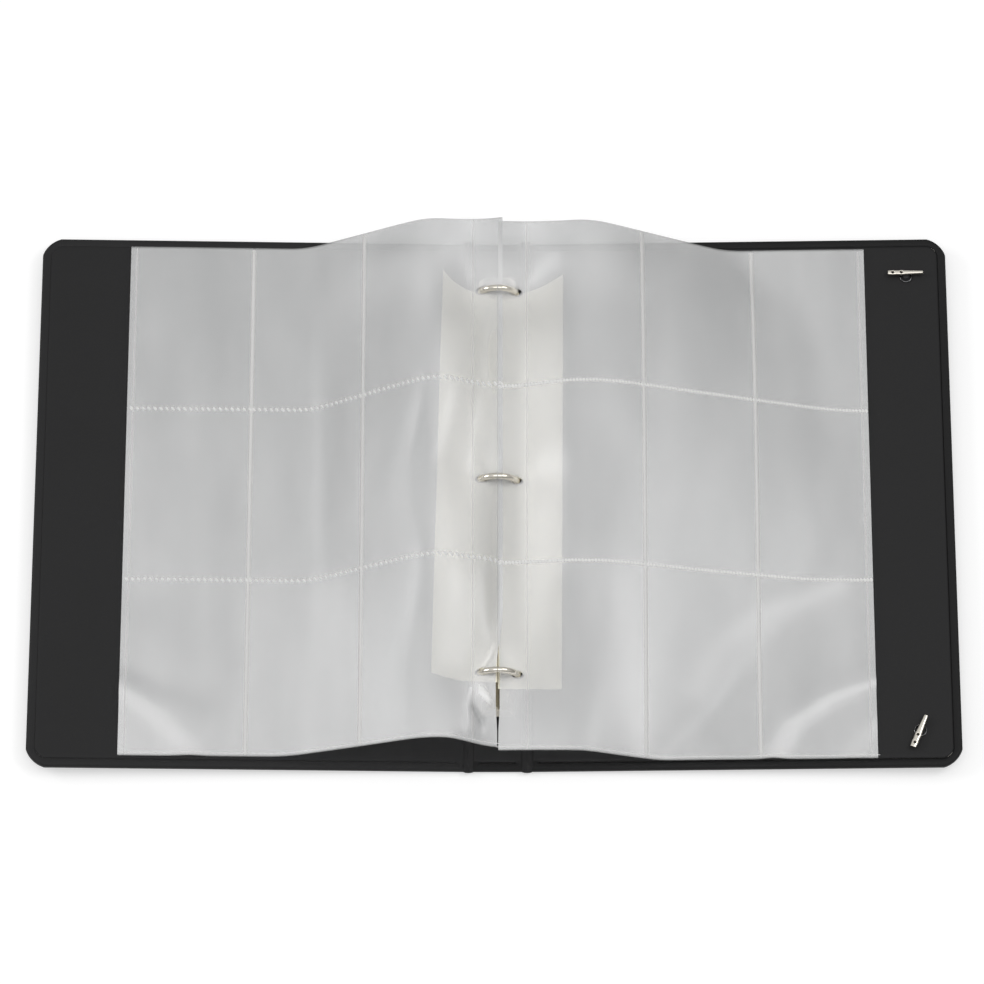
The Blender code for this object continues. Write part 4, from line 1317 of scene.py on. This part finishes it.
def barb_point(place, turn, breadth):
    """A point of the crimped bar and how deep it lies in a punched dimple."""
    lobes = sum(math.exp(-(((place - dimple) / BULGE_LENGTH) ** 2)) for dimple in BARB_DIMPLES)
    taper = max(0.0, place / BARB_LENGTH - 0.4) / 0.6
    end = min(place, BARB_LENGTH - place) / BARB_ROUNDING
    fall = math.sqrt(max(0.0, 1.0 - (1.0 - min(1.0, end)) ** 2))
    shrink = 0.75 + 0.25 * fall
    half_width = breadth * (BARB_HALF_WIDTH * (1.0 - BARB_TAPER * taper) + DIMPLE_BULGE * lobes) * shrink
    half_tall = BARB_TALL / 2 * shrink
    across = half_width * math.copysign(abs(math.cos(turn)) ** BARB_SQUARENESS, math.cos(turn))
    up = half_tall * math.copysign(abs(math.sin(turn)) ** BARB_SQUARENESS, math.sin(turn))
    pit = 0.0
    if up > 0:
        for dimple in BARB_DIMPLES:
            away = math.hypot(place - dimple, across) / DIMPLE_RADIUS
            pit += math.exp(-(away**6))
        up -= DIMPLE_DEPTH * pit * up / half_tall
    return Vector((place - BARB_LENGTH / 2, across, BARB_LOW + BARB_TALL / 2 + up)), pit


def build_barb(name, matrix, breadth):
    """A crimped bar with two punched dimples, its section finer where the dimples are."""
    around = 72
    places = np.concatenate(
        (
            np.linspace(0.0, BARB_ROUNDING, 5),
            np.linspace(0.5 * MM, 10.0 * MM, 72),
            np.linspace(10.6 * MM, 18.1 * MM, 14),
            np.linspace(18.25 * MM, BARB_LENGTH, 5),
        )
    )
    points = []
    pits = []
    for place in places:
        for step in range(around):
            point, pit = barb_point(place, step * math.tau / around, breadth)
            points.append(matrix @ point)
            pits.append(pit)
    barb = add_piece(name, points, capped(len(places), around), "rubbed_nickel", 60.0)
    # The pit value also paints shade into the dimples through the nickel finish.
    barb.data.attributes.new("pit", "FLOAT", "POINT").data.foreach_set("value", pits)
    return barb


def build_eyelet(name, matrix):
    """A rolled eyelet with a round flange inside and a rolled edge outside."""
    profile = [
        (2.5 * MM, -3.7 * MM),
        (2.5 * MM, 0.4 * MM),
        (3.3 * MM, 0.4 * MM),
        (3.4 * MM, 0.55 * MM),
        (3.35 * MM, 0.78 * MM),
        (3.2 * MM, 0.94 * MM),
        (3.0 * MM, 1.0 * MM),
        (2.8 * MM, 0.93 * MM),
        (2.65 * MM, 0.75 * MM),
        (2.45 * MM, 0.2 * MM),
        (1.95 * MM, -0.6 * MM),
        (1.9 * MM, -3.85 * MM),
        (2.2 * MM, -4.15 * MM),
        (2.7 * MM, -4.2 * MM),
        (3.0 * MM, -4.05 * MM),
        (3.1 * MM, -3.85 * MM),
        (3.05 * MM, -3.7 * MM),
    ]
    return turned_body(profile, 56, "black_enamel", name, matrix)


def build_elastic(name, matrix):
    """The braided end of the elastic, held in its eyelet."""
    around = 48
    heights = np.linspace(-3.5 * MM, 1.4 * MM, 40)
    points = []
    for height in heights:
        for step in range(around):
            turn = step * math.tau / around
            lay = height / (0.42 * MM)
            rib = max(math.cos(4 * turn + lay), math.cos(4 * turn - lay))
            radius = (1.42 + 0.14 * rib) * MM
            points.append(matrix @ Vector((radius * math.cos(turn), radius * math.sin(turn), height)))
    return add_piece(name, points, capped(len(heights), around), "braided_elastic", 60.0)


class ALBUM_OT_closure(bpy.types.Operator):
    """Dress the eyelets, barbs and elastic ends on the back cover"""

    bl_idname = "album.closure"
    bl_label = "Barb closure"

    def execute(self, context):
        for end, (along, turn) in EYELETS.items():
            matrix = cover_matrix(1.0) @ Matrix.Translation((EYELET_X, along, 0.0))
            aside = Matrix.Translation((*BARB_OFFSETS[end], 0.0))
            turned = matrix @ Matrix.Rotation(turn, 4, "Z") @ aside
            barb = build_barb(f"{end}_crimped_barb", turned, BARB_BREADTHS[end])
            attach(barb, f"{end}_barb")
            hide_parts(f"{end}_barb")
            eyelet = build_eyelet(f"{end}_rolled_eyelet", matrix)
            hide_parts(f"{end}_eyelet")
            elastic = build_elastic(f"{end}_elastic", matrix)
            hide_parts(f"{end}_elastic_end")
            for piece in (eyelet, elastic):
                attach(piece, "back_cover")
        return {"FINISHED"}


# Stage

FLOOR_LIFT = 0.46
FLOOR_HALF = 6.0
FLOOR_LEVEL = -0.3 * MM
PAINTED_EDGE_SHADOW = 0.45
HORIZON = 0.17
ZENITH_GAIN = 0.62
SOFTBOXES = {
    "overhead": ((0.0, -0.7, 2.1), (1.5, 1.2), 7.0),
    "left_box": ((-1.75, 0.3, 1.3), (0.9, 0.7), 10.0),
    "right_box": ((1.2, 0.05, 1.9), (0.9, 0.7), 8.0),
}
CAMERA_TARGET = Vector((-2.9, 6.3, 0.0)) * MM
CAMERA_DISTANCE = 3.02


def seen_directly(tree):
    """One for bare camera rays and for glossy and transmission rays, and nothing for the rest."""
    rays = tree.nodes.new("ShaderNodeLightPath")
    bare = math_node(tree, "LESS_THAN", rays.outputs["Transparent Depth"], 0.5)
    camera = math_node(tree, "MULTIPLY", rays.outputs["Is Camera Ray"], bare)
    first = math_node(tree, "MAXIMUM", camera, rays.outputs["Is Glossy Ray"])
    return math_node(tree, "MAXIMUM", first, rays.outputs["Is Transmission Ray"])


def floor_masks(tree):
    """One off the strips under the hinge webs, whose floor gets no white lift and so shows painted shadow,
    and a ramp of painted shadow that rises beyond the case's upper edge.
    """
    place = tree.nodes.new("ShaderNodeTexCoord")
    axes = tree.nodes.new("ShaderNodeSeparateXYZ")
    tree.links.new(place.outputs["Object"], axes.inputs["Vector"])
    strip = WEB_HALF_WIDTH + PANEL_GAP
    from_spine = math_node(tree, "ABSOLUTE", axes.outputs["X"], 0.0)
    from_crease = math_node(tree, "ABSOLUTE", math_node(tree, "SUBTRACT", from_spine, CREASE.x), 0.0)
    from_middle = math_node(tree, "ABSOLUTE", axes.outputs["Y"], 0.0)
    across = math_node(tree, "GREATER_THAN", from_crease, strip)
    along = math_node(tree, "GREATER_THAN", from_middle, CASE_HALF_HEIGHT)
    clear = math_node(tree, "MAXIMUM", across, along)
    ramp = add_node(tree, "ShaderNodeMapRange", interpolation_type="SMOOTHSTEP")
    edge = CASE_MIDDLE + CASE_HALF_HEIGHT
    ramp.inputs["From Min"].default_value = edge - 2.0 * MM
    ramp.inputs["From Max"].default_value = edge + 11.0 * MM
    ramp.inputs["To Min"].default_value = PAINTED_EDGE_SHADOW
    tree.links.new(axes.outputs["Y"], ramp.inputs["Value"])
    return clear, ramp.outputs["Result"]


def build_floor():
    """A pale floor, white where it is seen directly, with painted shadow along the case's upper edge where it
    is seen through film.
    """
    mesh = bpy.data.meshes.new("floor")
    signs = ((-1, -1), (1, -1), (1, 1), (-1, 1))
    corners = [(across * FLOOR_HALF, along * FLOOR_HALF, FLOOR_LEVEL) for across, along in signs]
    mesh.from_pydata(corners, [], [(0, 1, 2, 3)])
    floor = place_object("floor", mesh)
    made = bpy.data.materials.new("pale_floor")
    made.use_nodes = True
    tree = made.node_tree
    tree.nodes.remove(tree.nodes["Principled BSDF"])
    clear, beyond = floor_masks(tree)
    rays = tree.nodes.new("ShaderNodeLightPath")
    veiled = math_node(tree, "GREATER_THAN", rays.outputs["Transparent Depth"], 0.5)
    bare = math_node(tree, "SUBTRACT", 1.0, veiled)
    # Seen through film, the floor darkens towards the case's upper edge: painted shadow.
    tone = math_node(tree, "MAXIMUM", bare, beyond)
    colour = add_node(tree, "ShaderNodeMixRGB", color1=(0.0, 0.0, 0.0, 1.0))
    colour.inputs["Color2"].default_value = (*settings().stage.floor, 1.0)
    tree.links.new(tone, colour.inputs["Fac"])
    matt = tree.nodes.new("ShaderNodeBsdfDiffuse")
    tree.links.new(colour.outputs["Color"], matt.inputs["Color"])
    lift = tree.nodes.new("ShaderNodeEmission")
    # The strips under the hinge webs get no white lift, so their floor shows grey: painted shadow.
    white_lift = math_node(tree, "MULTIPLY", clear, FLOOR_LIFT)
    tree.links.new(math_node(tree, "MULTIPLY", seen_directly(tree), white_lift), lift.inputs["Strength"])
    both = tree.nodes.new("ShaderNodeAddShader")
    tree.links.new(matt.outputs["BSDF"], both.inputs[0])
    tree.links.new(lift.outputs["Emission"], both.inputs[1])
    tree.links.new(both.outputs["Shader"], tree.nodes["Material Output"].inputs["Surface"])
    mesh.materials.append(made)


def build_world():
    """A white surround for the camera; for everything else a dome that dims towards the horizon."""
    world = bpy.data.worlds.new("studio")
    world.use_nodes = True
    tree = world.node_tree
    sky = tree.nodes["Background"]
    sky.inputs["Color"].default_value = (1.0, 1.0, 1.0, 1.0)
    direction = tree.nodes.new("ShaderNodeTexCoord")
    axes = tree.nodes.new("ShaderNodeSeparateXYZ")
    tree.links.new(direction.outputs["Generated"], axes.inputs["Vector"])
    above = math_node(tree, "MAXIMUM", axes.outputs["Z"], 0.0)
    dome = math_node(tree, "ADD", math_node(tree, "MULTIPLY", above, ZENITH_GAIN), HORIZON)
    rays = tree.nodes.new("ShaderNodeLightPath")
    tree.links.new(math_node(tree, "MAXIMUM", rays.outputs["Is Camera Ray"], dome), sky.inputs["Strength"])
    bpy.context.scene.world = world


def add_softbox(name, place, size, power):
    """A rectangular lamp that faces the album."""
    light = bpy.data.lights.new(name, "AREA")
    light.shape = "RECTANGLE"
    light.size, light.size_y = size
    light.energy = power
    made = place_object(name, light)
    made.location = place
    made.rotation_euler = (-Vector(place)).to_track_quat("-Z", "Y").to_euler()


def build_camera():
    """A long lens that looks down at the album, tilted towards its lower edge."""
    chosen = settings().stage
    camera = bpy.data.cameras.new("camera")
    camera.lens = chosen.lens
    camera.sensor_width = 36.0
    made = place_object("camera", camera)
    back = Vector((0.0, -math.sin(chosen.tilt), math.cos(chosen.tilt)))
    made.location = CAMERA_TARGET + CAMERA_DISTANCE * back
    made.rotation_euler = (chosen.tilt, 0.0, 0.0)
    bpy.context.scene.camera = made


class ALBUM_OT_stage(bpy.types.Operator):
    """Set up the floor, soft lights and camera"""

    bl_idname = "album.stage"
    bl_label = "Stage"

    def execute(self, context):
        build_floor()
        build_world()
        for name, (place, size, power) in SOFTBOXES.items():
            add_softbox(name, place, size, power)
        build_camera()
        context.scene.view_settings.view_transform = "Standard"
        return {"FINISHED"}


class ALBUM_PT_panel(bpy.types.Panel):
    """Lists the pieces of the album"""

    bl_idname = "ALBUM_PT_panel"
    bl_label = "Ring photo album"
    bl_space_type = "VIEW_3D"
    bl_region_type = "UI"
    bl_category = "Album"

    def draw(self, context):
        for operator in OPERATORS:
            self.layout.operator(operator.bl_idname)


OPERATORS = (
    ALBUM_OT_case,
    ALBUM_OT_mechanism,
    ALBUM_OT_lifters,
    ALBUM_OT_leaves,
    ALBUM_OT_welds,
    ALBUM_OT_closure,
    ALBUM_OT_stage,
)
GROUPS = (CaseSettings, LeafSettings, MetalSettings, StageSettings, AlbumSettings)


def register():
    for part in (*GROUPS, *OPERATORS, ALBUM_PT_panel):
        bpy.utils.register_class(part)
    bpy.types.Scene.album = bpy.props.PointerProperty(type=AlbumSettings)


def unregister():
    del bpy.types.Scene.album
    for part in reversed((*GROUPS, *OPERATORS, ALBUM_PT_panel)):
        bpy.utils.unregister_class(part)


def main():
    register()
    make_materials()
    bpy.ops.album.case()
    bpy.ops.album.mechanism()
    bpy.ops.album.lifters()
    bpy.ops.album.leaves()
    bpy.ops.album.welds()
    bpy.ops.album.closure()
    bpy.ops.album.stage()


if __name__ == "__main__":
    main()
